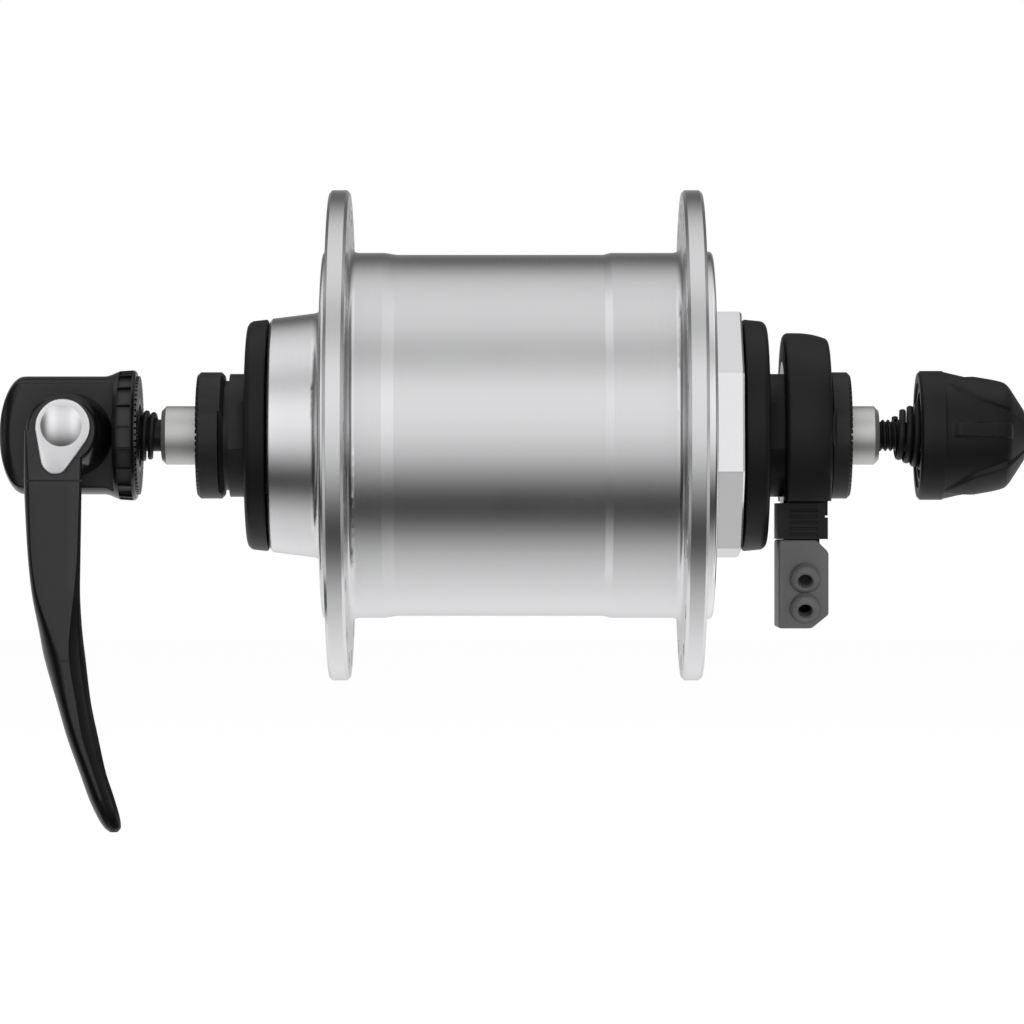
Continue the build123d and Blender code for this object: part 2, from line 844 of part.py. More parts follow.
# Terminal plate: a thin washer against the cone, with a tab down the inboard face of the tongue
with BuildPart() as terminal_plate:
    with BuildSketch(across(y_terminal)) as plate:
        Circle(plate_r)
        with Locations((0, z_tongue / 2)):
            Rectangle(2 * tab_half_x, -z_tongue)
        Circle(axle_fit_r, mode=Mode.SUBTRACT)
        with Locations((0, -axle_r)):
            Rectangle(2 * (wire_r + wire_gap), 2 * wire_r, mode=Mode.SUBTRACT)
    extrude(plate.sketch, amount=plate_t)
finish(terminal_plate, "terminal_plate")

# Live contact: a strip on the outboard face of the tongue, with a foot that the lead wire ends on
with BuildPart() as live_contact:
    with BuildSketch(Plane.XY.offset(z_wire_end)) as foot:
        with Locations((0, (y_wire_end + wire_r + y_tongue - strip_t) / 2)):
            Rectangle(2 * tab_half_x, y_wire_end + wire_r - y_tongue + strip_t)
    extrude(foot.sketch, amount=-strip_t)
    with BuildSketch(Plane.XY.offset(z_neck)) as strip:
        with Locations((0, y_tongue - strip_t / 2)):
            Rectangle(2 * tab_half_x, strip_t)
    extrude(strip.sketch, amount=-tongue_drop)
finish(live_contact, "live_contact")

# Lead wire: from the coil through the bobbin and the yoke, along the axle's groove to the contact
y_lead_start = y_core_right + bobbin_flange_t
y_lead_turn = y_stator_right - stator_nut_t - lead_turn_in
y_lead_groove = y_stator_right - stator_nut_t - lead_turn_out
lead_places = [
    (0, y_lead_start, -lead_drop),
    (0, y_lead_turn, -lead_drop),
    (0, y_lead_groove, wire_z),
    (0, y_wire_end, wire_z),
    (0, y_wire_end, z_wire_end),
]


def lead_radii(places):
    """The arc at each corner that leaves room for its neighbours on the shorter run."""
    radii = []
    for before, corner, after in zip(places, places[1:], places[2:]):
        run_in = Vector(*corner) - Vector(*before)
        run_out = Vector(*after) - Vector(*corner)
        half_turn = radians(run_in.get_angle(run_out) / 2)
        shorter = min(run_in.length, run_out.length)
        radii.append(lead_arc_share * shorter * cos(half_turn) / sin(half_turn))
    return radii


print("lead wire radii", [round(radius, 2) for radius in lead_radii(lead_places)])
with BuildPart() as lead_wire:
    with BuildLine() as route:
        FilletPolyline(*lead_places, radius=lead_radii(lead_places))
    with BuildSketch(across(y_lead_start)) as section:
        with Locations((0, -lead_drop)):
            Circle(wire_r)
    sweep(section.sketch, path=route.wires()[0])
finish(lead_wire, "lead_wire")

# Plug: a black body that slides up over the neck and the tongue, with a core inside its cap
z_plug_top = -(terminal_foot + plug_top_gap)
z_plug_neck = z_neck - plug_slide_gap
z_grip = z_plug_top - plug_grip_t
y_plug_in = y_terminal + plug_tab_gap + plug_inboard_wall
y_plug_out = y_plug_in - plug_t
y_socket_in = y_terminal + plug_tab_gap
y_socket_out = y_tongue - strip_t - plug_tab_gap
y_core_in = y_plug_in - core_inset_y
y_core_out = y_plug_out + core_inset_y
with BuildPart() as plug_body:
    with BuildSketch(Plane.XY.offset(z_plug_top)) as grip:
        with BuildLine():
            Polyline(
                (-plug_half_x, y_plug_in),
                (plug_half_x, y_plug_in),
                (plug_half_x, y_plug_out + plug_bevel_y),
                (plug_half_x - plug_bevel_x, y_plug_out),
                (-plug_half_x + plug_bevel_x, y_plug_out),
                (-plug_half_x, y_plug_out + plug_bevel_y),
                close=True,
            )
        make_face()
    extrude(grip.sketch, amount=-plug_grip_t)
    with BuildSketch(Plane.XY.offset(z_grip)) as core:
        with Locations((0, (y_core_in + y_core_out) / 2)):
            Rectangle(2 * (plug_half_x - core_inset_x), y_core_in - y_core_out)
    extrude(core.sketch, amount=-core_length)
    with BuildSketch(Plane.XY.offset(z_plug_top)) as neck_way:
        with Locations((0, (y_socket_in + y_plug_out - overrun) / 2)):
            Rectangle(2 * (neck_half_x + plug_slide_gap), y_socket_in - y_plug_out + overrun)
    extrude(neck_way.sketch, amount=z_plug_neck - z_plug_top, mode=Mode.SUBTRACT)
    with BuildSketch(Plane.XY.offset(z_plug_neck)) as socket:
        with Locations((0, (y_socket_in + y_socket_out) / 2)):
            Rectangle(2 * (tongue_half_x + plug_slide_gap), y_socket_in - y_socket_out)
    extrude(socket.sketch, amount=-tongue_drop, mode=Mode.SUBTRACT)
    groove_pitch = plug_grip_t / (grip_rib_count + 1)
    for number in range(grip_rib_count):
        z_groove = z_plug_top - (number + 1) * groove_pitch
        with BuildSketch(Plane.XY.offset(z_groove)) as rib_groove:
            with Locations((-plug_half_x, y_plug_in - plug_t / 2), (plug_half_x, y_plug_in - plug_t / 2)):
                Rectangle(2 * grip_groove_depth, plug_t - 2 * plug_bevel_y)
        extrude(rib_groove.sketch, amount=-grip_groove_h, mode=Mode.SUBTRACT)
    with BuildSketch(Plane.XY.offset(z_plug_neck)) as strip_ways:
        with Locations((0, y_socket_in + plug_strip_t / 2), (0, y_socket_out - plug_strip_t / 2)):
            Rectangle(2 * tab_half_x, plug_strip_t)
    extrude(strip_ways.sketch, amount=-tongue_drop, mode=Mode.SUBTRACT)
finish(plug_body, "plug_body")

with BuildPart() as plug_contacts:
    with BuildSketch(Plane.XY.offset(z_plug_neck)) as strips:
        with Locations((0, y_socket_in + plug_strip_t / 2), (0, y_socket_out - plug_strip_t / 2)):
            Rectangle(2 * tab_half_x - 2 * close_fit, plug_strip_t - 2 * close_fit)
    extrude(strips.sketch, amount=-tongue_drop)
finish(plug_contacts, "plug_contacts")

# Plug cap: grey, with cut corners on its outboard side and two bosses that the wires leave through
z_cap_bottom = z_grip - cap_height
z_upper_boss = z_grip - upper_boss_drop
y_bosses = y_plug_in - boss_from_inboard
with BuildPart() as plug_cap:
    with BuildSketch(Plane.YZ.offset(-plug_half_x)) as outline:
        with BuildLine():
            Polyline(
                (y_plug_in, z_grip - cap_gap),
                (y_plug_out + cap_top_cut, z_grip - cap_gap),
                (y_plug_out, z_grip - cap_gap - cap_top_cut),
                (y_plug_out, z_cap_bottom + cap_bottom_cut_z),
                (y_plug_out + cap_bottom_cut_y, z_cap_bottom),
                (y_plug_in, z_cap_bottom),
                close=True,
            )
        make_face()
    extrude(outline.sketch, amount=2 * plug_half_x)
    with BuildSketch(Plane.YZ.offset(-plug_half_x)) as bosses:
        with Locations((y_bosses, z_upper_boss), (y_bosses, z_upper_boss - boss_spacing)):
            Circle(boss_r)
    extrude(bosses.sketch, amount=-boss_t)
    with BuildSketch(Plane.XY.offset(z_grip)) as cavity:
        with Locations((0, (y_core_in + y_core_out) / 2)):
            Rectangle(
                2 * (plug_half_x - core_inset_x + plug_tab_gap),
                y_core_in - y_core_out + 2 * plug_tab_gap,
            )
    extrude(cavity.sketch, amount=cap_floor - cap_height, mode=Mode.SUBTRACT)
    with BuildSketch(Plane.YZ.offset(-plug_half_x - boss_t)) as lead_holes:
        with Locations((y_bosses, z_upper_boss), (y_bosses, z_upper_boss - boss_spacing)):
            Circle(lead_hole_r)
    extrude(lead_holes.sketch, amount=boss_t + core_inset_x, mode=Mode.SUBTRACT)
    with BuildSketch(across(y_plug_in)) as latch:
        with Locations((0, z_grip - cap_top_cut - latch_h)):
            Rectangle(2 * latch_half_x, latch_h)
    extrude(latch.sketch, amount=latch_depth, mode=Mode.SUBTRACT)
finish(plug_cap, "plug_cap")

# Skewer rod: a long rod with a flat eye at the lever end that the cam works in
y_eye = y_pivot + cam_throw
eye_half_y = cam_r + cam_slack
eye_half_z = cam_r + cam_throw + cam_slack
y_rod_end = y_nut_face - rod_end_reach
with BuildPart() as skewer_rod:
    ring(0, rod_r, y_rod_end, y_eye - eye_half_y - eye_wall_y / 2)
    with BuildSketch(Plane.YZ.offset(-eye_half_x)) as eye:
        with Locations((y_eye, 0)):
            SlotOverall(2 * (eye_half_z + eye_wall_z), 2 * (eye_half_y + eye_wall_y), rotation=90)
            SlotOverall(2 * eye_half_z, 2 * eye_half_y, rotation=90, mode=Mode.SUBTRACT)
    extrude(eye.sketch, amount=2 * eye_half_x)
finish(skewer_rod, "skewer_rod")

# Lever housing: a domed barrel with a flat for the lever, a flared mouth and a slot for the eye
y_dome = y_housing_end - dome_t
y_lip = y_housing_face + flare_end
y_flare_full = y_housing_face + flare_full
y_flare_start = y_housing_face + flare_start
y_ring_back = y_lip + ring_recess_t
y_spring_seat = y_housing_face + spring_seat_depth
y_flat = y_housing_face + housing_flat_start
slot_half_x = rod_r + running_gap
x_clip_seat = slot_half_x + clip_seat
with BuildPart() as lever_housing:
    with BuildSketch(Plane.XY) as profile:
        with BuildLine():
            EllipticalCenterArc((0, y_dome), housing_r, dome_t, start_angle=0, arc_size=90)
            Line((housing_r, y_dome), (housing_r, y_flare_start))
            Bezier(
                (housing_r, y_flare_start),
                (housing_r, (y_flare_start + y_flare_full) / 2),
                ((housing_r + flare_r) / 2, y_flare_full),
                (flare_r, y_flare_full),
            )
            Polyline((flare_r, y_flare_full), (flare_r, y_lip), (0, y_lip), (0, y_housing_end))
        make_face()
        fillet(profile.vertices().sort_by_distance((flare_r, y_lip))[0], flare_lip_round)
    revolve(profile.sketch, axis=Axis.Y)
    with BuildSketch(Plane.XY.offset(-flare_r)) as flat:
        with Locations((-housing_flat_x - flare_r / 2, (y_flat + y_housing_end + overrun) / 2)):
            Rectangle(flare_r, y_housing_end + overrun - y_flat)
    extrude(flat.sketch, amount=2 * flare_r, mode=Mode.SUBTRACT)
    with BuildSketch(across(y_housing_face + pocket_start + pocket_length)) as pockets:
        with PolarLocations(pocket_floor_r + flare_r / 2, pocket_count):
            Rectangle(flare_r, pocket_w)
    extrude(pockets.sketch, amount=pocket_length, mode=Mode.SUBTRACT)
    ring(0, ring_r + close_fit, y_lip - overrun, y_ring_back, Mode.SUBTRACT)
    ring(0, ring_bore_r, y_ring_back, y_spring_seat, Mode.SUBTRACT)
    with BuildSketch(Plane.YZ.offset(-slot_half_x)) as slot:
        with Locations(((y_ring_back + y_housing_end - slot_end_wall) / 2, 0)):
            Rectangle(y_housing_end - slot_end_wall - y_ring_back, 2 * slot_half_z)
    extrude(slot.sketch, amount=2 * slot_half_x, mode=Mode.SUBTRACT)
    with BuildSketch(Plane.YZ) as bores:
        with Locations((y_pivot, 0)):
            Circle(front_journal_r + close_fit)
    extrude(bores.sketch, amount=-housing_flat_x - overrun, mode=Mode.SUBTRACT)
    with BuildSketch(Plane.YZ) as back_bore:
        with Locations((y_pivot, 0)):
            Circle(back_journal_r + close_fit)
    extrude(back_bore.sketch, amount=housing_r + overrun, mode=Mode.SUBTRACT)
    with BuildSketch(Plane.YZ.offset(x_clip_seat)) as clip_well:
        with Locations((y_pivot, 0)):
            Circle(clip_well_r)
    extrude(clip_well.sketch, amount=housing_r, mode=Mode.SUBTRACT)
finish(lever_housing, "lever_housing")

with BuildPart() as housing_ring:
    ring(ring_bore_r, ring_r, y_housing_face, y_ring_back)
    serrate(y_housing_face, -1, ring_bore_r + serration_margin, ring_r + overrun)
finish(housing_ring, "housing_ring")

# Cam shaft: spigot in the lever, front journal, eccentric cam in the eye, back journal with a groove
x_boss_back = housing_flat_x + running_gap
x_cam = eye_half_x + running_gap
x_clip = x_clip_seat + close_fit
with BuildPart() as cam_shaft:
    with BuildSketch(Plane.YZ.offset(-x_boss_back - spigot_length)) as spigot:
        with Locations((y_pivot, 0)):
            Circle(spigot_r)
    extrude(spigot.sketch, amount=spigot_length)
    with BuildSketch(Plane.YZ.offset(-x_boss_back)) as front_journal:
        with Locations((y_pivot, 0)):
            Circle(front_journal_r)
    extrude(front_journal.sketch, amount=x_boss_back - x_cam)
    with BuildSketch(Plane.YZ.offset(-x_cam)) as cam:
        with Locations((y_pivot + cam_throw, 0)):
            Circle(cam_r)
    extrude(cam.sketch, amount=2 * x_cam)
    with BuildSketch(Plane.YZ.offset(x_cam)) as back_journal:
        with Locations((y_pivot, 0)):
            Circle(back_journal_r)
    extrude(back_journal.sketch, amount=back_journal_length)
    with BuildSketch(Plane.YZ.offset(x_clip)) as clip_groove:
        with Locations((y_pivot, 0)):
            Circle(back_journal_r + overrun)
            Circle(clip_groove_r, mode=Mode.SUBTRACT)
    extrude(clip_groove.sketch, amount=clip_t + close_fit, mode=Mode.SUBTRACT)
finish(cam_shaft, "cam_shaft")

# Clip: an open ring that snaps into the groove of the cam shaft
with BuildPart() as cam_clip:
    with BuildSketch(Plane.YZ.offset(x_clip + close_fit / 2)) as clip:
        with Locations((y_pivot, 0)):
            Circle(clip_r)
            Circle(clip_groove_r + close_fit, mode=Mode.SUBTRACT)
        with Locations((y_pivot, -clip_r)):
            Rectangle(clip_mouth, 2 * clip_r, mode=Mode.SUBTRACT)
    extrude(clip.sketch, amount=clip_t)
finish(cam_clip, "cam_clip")

# Lever: a boss on the cam shaft and a bowed arm that widens into a paddle
x_front = -lever_front_x
cap_centre = (y_pivot + boss_shift_y, lever_cap_shift_z)
cap_tail_centre = (y_pivot + lever_cap_tail_y, -lever_cap_tail_z)
with BuildPart() as lever:
    with BuildSketch(Plane.YZ.offset(-x_boss_back)):
        with Locations((y_pivot, 0)):
            Circle(boss_base_r)
    with BuildSketch(Plane.YZ.offset(x_front)):
        with Locations((y_pivot + boss_shift_y, boss_shift_z)):
            Circle(boss_front_r)
    loft()
    front_edge = lever.edges().filter_by(GeomType.CIRCLE).sort_by(Axis.X)[0]
    chamfer(front_edge, boss_edge)
with BuildPart() as lever_arm:
    for drop, bow, width, front, back, corner in lever_section_shares:
        y_section = y_pivot + lever_centre - bow * lever_bow
        x_section = x_front + (front + back) / 2 * lever_depth
        with BuildSketch(Plane.XY.offset(-drop * lever_length)):
            with Locations((x_section, y_section)):
                section_depth = (back - front) * lever_depth
                section_width = width * lever_width
                RectangleRounded(section_depth, section_width, corner * section_width)
    loft()
sweep_r = hypot(housing_end - dome_t, housing_r) + sweep_gap
with lever:
    add(lever_arm.part)
    with BuildSketch(Plane.YZ.offset(-x_boss_back)) as sweep_way:
        with Locations((y_pivot, 0)):
            Circle(sweep_r)
    extrude(sweep_way.sketch, amount=x_boss_back + lever_depth, mode=Mode.SUBTRACT)
    with BuildSketch(Plane.YZ.offset(-x_boss_back - spigot_length)) as spigot_hole:
        with Locations((y_pivot, 0)):
            Circle(spigot_r + close_fit)
    extrude(spigot_hole.sketch, amount=spigot_length, mode=Mode.SUBTRACT)
    with BuildSketch(Plane.YZ.offset(x_front)) as cap_recess:
        with BuildLine():
            CenterArc(cap_centre, lever_cap_r + close_fit, 0, 360)
            CenterArc(cap_tail_centre, lever_cap_tail_r + close_fit, 0, 360)
        make_hull()
    extrude(cap_recess.sketch, amount=lever_cap_t - lever_cap_proud, mode=Mode.SUBTRACT)
    with BuildSketch(Plane.YZ.offset(x_front)) as seam:
        with Locations((y_pivot + lever_centre, -groove_drop)):
            Rectangle(2 * lever_width, groove_w)
    extrude(seam.sketch, amount=groove_depth, mode=Mode.SUBTRACT)
finish(lever, "lever")

# Lever cap: a silver teardrop with a low round dome
dome_sphere_r = (dome_r * dome_r + dome_rise * dome_rise) / (2 * dome_rise)
dome_drop = dome_sphere_r - dome_rise
x_cap_front = x_front - lever_cap_proud
with BuildPart() as lever_cap:
    with BuildSketch(Plane.YZ.offset(x_cap_front)) as teardrop:
        with BuildLine():
            CenterArc(cap_centre, lever_cap_r, 0, 360)
            CenterArc(cap_tail_centre, lever_cap_tail_r, 0, 360)
        make_hull()
    extrude(teardrop.sketch, amount=lever_cap_t)
    with BuildSketch(Plane((x_cap_front, *cap_centre), x_dir=(0, 1, 0), z_dir=(0, 0, 1))) as dome:
        with BuildLine():
            dome_arc = slope(dome_r, dome_drop)
            CenterArc((0, -dome_drop), dome_sphere_r, 90 - dome_arc, dome_arc)
            Polyline((0, dome_rise), (0, -lever_cap_proud), (dome_r, -lever_cap_proud), (dome_r, 0))
        make_face()
    revolve(dome.sketch, axis=Axis((x_cap_front, *cap_centre), (1, 0, 0)))
finish(lever_cap, "lever_cap")


def conical_spring(y_small, y_large, small_r, large_r, turns, wire):
    """A conical spring about the rod, with the wire's section given as its size along and across."""
    length = y_large - y_small
    direction = (0, 1 if length > 0 else -1, 0)
    with BuildPart() as spring:
        with BuildLine() as path:
            Helix(
                abs(length) / turns,
                abs(length),
                small_r,
                center=(0, y_small, 0),
                direction=direction,
                cone_angle=slope(large_r - small_r, abs(length)),
            )
        start = path.wires()[0] @ 0
        heading = path.wires()[0] % 0
        with BuildSketch(Plane(origin=start, x_dir=direction, z_dir=heading)) as section:
            if wire[0] == wire[1]:
                Circle(wire[0] / 2)
            else:
                Rectangle(wire[0], wire[1])
        sweep(section.sketch, path=path.wires()[0], is_frenet=True)
    return spring


left_spring = conical_spring(
    y_housing_face - left_spring_tip + spring_wire_r,
    y_spring_seat - spring_wire_r - close_fit,
    left_spring_small_r,
    left_spring_large_r,
    left_spring_turns,
    (2 * spring_wire_r, 2 * spring_wire_r),
)
finish(left_spring, "left_spring")

right_spring = conical_spring(
    y_nut_face + right_spring_tip - flat_wire_w / 2,
    y_nut_face - nut_well_t + flat_wire_w / 2 + close_fit,
    right_spring_small_r,
    right_spring_large_r,
    right_spring_turns,
    (flat_wire_w, flat_wire_t),
)
finish(right_spring, "right_spring")

# Adjusting nut: a cover with three scoops and a rib in each, over a threaded insert, with a serrated ring
y_nut_ring = y_nut_face - nut_ring_sink
y_nut_ring_back = y_nut_ring - nut_ring_t
y_nut_well = y_nut_face - nut_well_t
y_insert_end = y_nut_well - insert_t
y_nut_end = y_nut_face - nut_length
y_shoulder = y_nut_face - nut_shoulder
y_rib = y_nut_face - nut_band_t - rib_start
with BuildPart() as nut_ribs:
    turn_rounded(
        [
            (0, y_rib),
            (nut_band_r - rib_sink, y_rib),
            (nut_shoulder_r - rib_sink, y_shoulder),
            (nut_nose_r - rib_sink, y_nut_end),
            (0, y_nut_end),
        ],
        [(nut_shoulder_r - rib_sink, y_shoulder)],
        nut_shoulder_round,
    )
    with BuildSketch(across(y_rib)) as rib_places:
        with PolarLocations(nut_band_r / 2, nut_scoops, start_angle=scoop_turn):
            Rectangle(nut_band_r, rib_w)
    extrude(rib_places.sketch, amount=nut_length, mode=Mode.INTERSECT)
y_scoop = y_nut_face - nut_band_t
scoop_places = [
    (y_scoop, nut_band_r, scoop_start_angles),
    (y_shoulder, nut_shoulder_r, scoop_end_angles),
    (y_nut_end, nut_nose_r, scoop_end_angles),
]
with BuildPart() as nut_scoop:
    for y_section, surface_r, (edge_angle, floor_angle) in scoop_places:
        floor_r = surface_r - scoop_depth
        floor_x = floor_r * cos(radians(floor_angle))
        floor_z = floor_r * sin(radians(floor_angle))
        rim_x = 2 * surface_r * cos(radians(edge_angle)) - floor_x
        rim_z = 2 * surface_r * sin(radians(edge_angle)) - floor_z
        with BuildSketch(across(y_section)):
            with BuildLine():
                Polyline(
                    (floor_x, floor_z),
                    (rim_x, rim_z),
                    (2 * surface_r, rim_z),
                    (2 * surface_r, -rim_z),
                    (rim_x, -rim_z),
                    (floor_x, -floor_z),
                    close=True,
                )
            make_face()
    loft(ruled=True)
    core_profile = [
        (0, y_scoop + overrun),
        (nut_band_r - scoop_depth, y_scoop + overrun),
        (nut_band_r - scoop_depth, y_scoop),
        (nut_shoulder_r - scoop_depth, y_shoulder),
        (nut_nose_r - scoop_depth, y_nut_end),
        (0, y_nut_end),
    ]
    turn(core_profile, mode=Mode.SUBTRACT)
with BuildPart() as nut_cover:
    turn_rounded(
        [
            (0, y_nut_face),
            (nut_band_r - nut_edge, y_nut_face),
            (nut_band_r, y_nut_face - nut_edge),
            (nut_band_r, y_nut_face - nut_band_t),
            (nut_shoulder_r, y_shoulder),
            (nut_nose_r, y_nut_end),
            (0, y_nut_end),
        ],
        [(nut_shoulder_r, y_shoulder)],
        nut_shoulder_round,
    )
    for number in range(nut_scoops):
        scoop_angle = scoop_turn + number * 360 / nut_scoops
        add(nut_scoop.part, rotation=(0, -scoop_angle, 0), mode=Mode.SUBTRACT)
    add(nut_ribs.part)
    ring(0, nut_ring_r + close_fit, y_nut_face, y_nut_ring_back, Mode.SUBTRACT)
    ring(0, nut_well_r, y_nut_ring_back, y_nut_well, Mode.SUBTRACT)
    ring(0, insert_r + close_fit, y_nut_well, y_insert_end, Mode.SUBTRACT)
    ring(0, axle_bore_r, y_insert_end, y_nut_end + nut_bore_end, Mode.SUBTRACT)
finish(nut_cover, "nut_cover")

with BuildPart() as nut_insert:
    ring(rod_r + thread_gap, insert_r, y_insert_end, y_nut_well)
finish(nut_insert, "nut_insert")

with BuildPart() as nut_ring:
    ring(nut_ring_bore_r, nut_ring_r, y_nut_ring_back, y_nut_ring)
    serrate(y_nut_ring, 1, nut_ring_bore_r + serration_margin / 2, nut_ring_r + overrun)
finish(nut_ring, "nut_ring")

print("over the locknuts", round(y_left_face - y_right_face, 3))
print("pivot at", round(y_pivot, 3))
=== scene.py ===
from math import cos, hypot, pi, radians, sin

import bmesh
import bpy
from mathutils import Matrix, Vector


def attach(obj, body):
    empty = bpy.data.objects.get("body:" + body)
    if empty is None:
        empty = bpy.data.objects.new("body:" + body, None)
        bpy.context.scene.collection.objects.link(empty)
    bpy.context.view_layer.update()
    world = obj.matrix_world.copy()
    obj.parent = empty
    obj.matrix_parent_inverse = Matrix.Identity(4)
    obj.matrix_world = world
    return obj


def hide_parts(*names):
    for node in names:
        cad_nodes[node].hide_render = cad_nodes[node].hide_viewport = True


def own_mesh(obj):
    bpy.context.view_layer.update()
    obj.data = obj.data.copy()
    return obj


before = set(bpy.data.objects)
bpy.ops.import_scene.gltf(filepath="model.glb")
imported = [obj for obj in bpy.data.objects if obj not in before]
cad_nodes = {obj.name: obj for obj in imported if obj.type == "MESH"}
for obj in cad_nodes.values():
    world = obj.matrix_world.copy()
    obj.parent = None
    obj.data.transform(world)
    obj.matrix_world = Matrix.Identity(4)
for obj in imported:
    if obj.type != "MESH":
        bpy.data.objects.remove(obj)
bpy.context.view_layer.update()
MM = 0.001


# Objects and node trees
def placed(name, data):
    """A new object in the scene that shows a mesh, a lamp or a camera."""
    item = bpy.data.objects.new(name, data)
    bpy.context.scene.collection.objects.link(item)
    return item


def empty_tree(owner):
    """The node tree of a world or a material, with nothing in it yet."""
    owner.use_nodes = True
    owner.node_tree.nodes.clear()
    return owner.node_tree


def add_node(tree, kind, inputs=(), **settings):
    """A node with its settings and its inputs, by name or number: an output is linked, a value is set."""
    node = tree.nodes.new(kind)
    for setting, value in settings.items():
        setattr(node, setting, value)
    for label, value in dict(inputs).items():
        if isinstance(value, bpy.types.NodeSocket):
            tree.links.new(value, node.inputs[label])
        else:
            node.inputs[label].default_value = value
    return node


def output_of(tree, kind, inputs=(), **settings):
    """The first output of a new node."""
    return add_node(tree, kind, inputs, **settings).outputs[0]


def calc(tree, operation, first, second=None, clamp=False):
    """The result of a Math node; each of first and second is a number or an output."""
    inputs = {0: first} if second is None else {0: first, 1: second}
    return output_of(tree, "ShaderNodeMath", inputs, operation=operation, use_clamp=clamp)


def vector(tree, x=0.0, y=0.0, z=0.0):
    return output_of(tree, "ShaderNodeCombineXYZ", {"X": x, "Y": y, "Z": z})


def split_xyz(tree, place):
    parts = add_node(tree, "ShaderNodeSeparateXYZ", {0: place})
    return [parts.outputs[axis] for axis in "XYZ"]


def add_ramp(tree, factor, stops):
    """The colour of a smooth ramp over pairs of position and colour, read at a factor."""
    ramp = add_node(tree, "ShaderNodeValToRGB", {"Fac": factor})
    ramp.color_ramp.interpolation = "B_SPLINE"
    elements = ramp.color_ramp.elements
    for number, (position, colour) in enumerate(stops):
        element = elements[number] if number < 2 else elements.new(position)
        element.position = position
        element.color = (*colour, 1)
    return ramp.outputs["Color"]


# Camera: a long lens, level and square to the axle, a little below it
SENSOR_WIDTH, FOCAL_LENGTH = 36, 190.05
CLIP_FROM, CLIP_TO = 0.01, 20
CAMERA_PLACE = (-0.830, 0.0018, -0.01176)
CAMERA_TURN = (pi / 2, 0, -pi / 2)


def place_camera():
    data = bpy.data.cameras.new("camera")
    data.sensor_width = SENSOR_WIDTH
    data.lens = FOCAL_LENGTH
    data.clip_start = CLIP_FROM
    data.clip_end = CLIP_TO
    camera = placed("camera", data)
    camera.location = CAMERA_PLACE
    camera.rotation_euler = CAMERA_TURN
    bpy.context.scene.camera = camera


# Studio: a white room with one darker band low in front, as metal shows it, and plain soft lamps
# The room's level by turn round the axle in degrees: 0 is in front of the object and 90 above it
ROOM_LEVELS = [
    (-180, 0.55), (-152, 0.86), (-130, 0.84), (-101, 0.70), (-79, 0.49), (-65, 0.24), (-55, 0.08),
    (-46, 0.045), (-36, 0.09), (-24, 0.34), (-12, 0.60), (0, 0.76), (15, 0.84), (30, 0.84), (42, 0.62),
    (55, 0.48), (64, 0.62), (82, 0.78), (111, 0.68), (126, 0.42), (142, 0.07), (160, 0.12), (180, 0.55),
]
# The front half again by lean along the axle, 0 square to it and 1 along it: a dark card stands at each side
SIDE_LEVELS = [(0.0, 0.78), (0.2, 0.78), (0.3, 1.0), (0.5, 0.95), (0.6, 0.2), (0.7, 0.13), (0.86, 0.13),
               (0.95, 0.43), (1.0, 0.78)]
# The cards' share is FRONT_SHARE less FRONT_FADE times the direction's X, held between 0 and 1
FRONT_SHARE, FRONT_FADE = 1.8, 4.0
ROOM_BLUE = 1.01
ROOM_STRENGTH = 1.28
SOFT_LIGHT = (0.62, 0.62, 0.63, 1)
WHITE = (1, 1, 1, 1)
LAMP_SIDE = 0.8
# Each lamp's place and power
LAMPS = {"key_lamp": ((-0.7, 0.35, 0.75), 3.4), "fill_lamp": ((-0.8, -0.6, 0.25), 1.6)}
FLOOR_HEIGHT, FLOOR_REACH = -0.125, 4.0
FLOOR_COLOUR = (0.86, 0.86, 0.86, 1)
FLOOR_GLOW = 0.45


def light_room():
    """Mirrors see the room's levels, matt surfaces a plain soft light and the camera plain white."""
    world = bpy.data.worlds.new("studio")
    bpy.context.scene.world = world
    tree = empty_tree(world)
    x, y, z = split_xyz(tree, add_node(tree, "ShaderNodeTexCoord").outputs["Generated"])
    angle = calc(tree, "ARCTAN2", z, calc(tree, "MULTIPLY", x, -1))
    share = calc(tree, "ADD", calc(tree, "DIVIDE", angle, 2 * pi), 0.5)
    around = add_ramp(tree, share, [(turn / 360 + 0.5, (level, level, level * ROOM_BLUE))
                                    for turn, level in ROOM_LEVELS])
    in_front = calc(tree, "SUBTRACT", FRONT_SHARE, calc(tree, "MULTIPLY", x, FRONT_FADE), clamp=True)
    lean = calc(tree, "MULTIPLY", calc(tree, "ABSOLUTE", y), in_front)
    sideways = add_ramp(tree, lean, [(reach, (level, level, level)) for reach, level in SIDE_LEVELS])
    room = output_of(tree, "ShaderNodeVectorMath", {0: around, 1: sideways}, operation="MULTIPLY")
    mirrored = output_of(tree, "ShaderNodeBackground", {"Color": room, "Strength": ROOM_STRENGTH})
    soft = output_of(tree, "ShaderNodeBackground", {"Color": SOFT_LIGHT})
    white = output_of(tree, "ShaderNodeBackground", {"Color": WHITE})
    rays = add_node(tree, "ShaderNodeLightPath").outputs
    sharp = calc(tree, "MAXIMUM", rays["Is Glossy Ray"], rays["Is Transmission Ray"])
    light = output_of(tree, "ShaderNodeMixShader", {"Fac": sharp, 1: soft, 2: mirrored})
    shown = output_of(tree, "ShaderNodeMixShader", {"Fac": rays["Is Camera Ray"], 1: light, 2: white})
    add_node(tree, "ShaderNodeOutputWorld", {"Surface": shown})


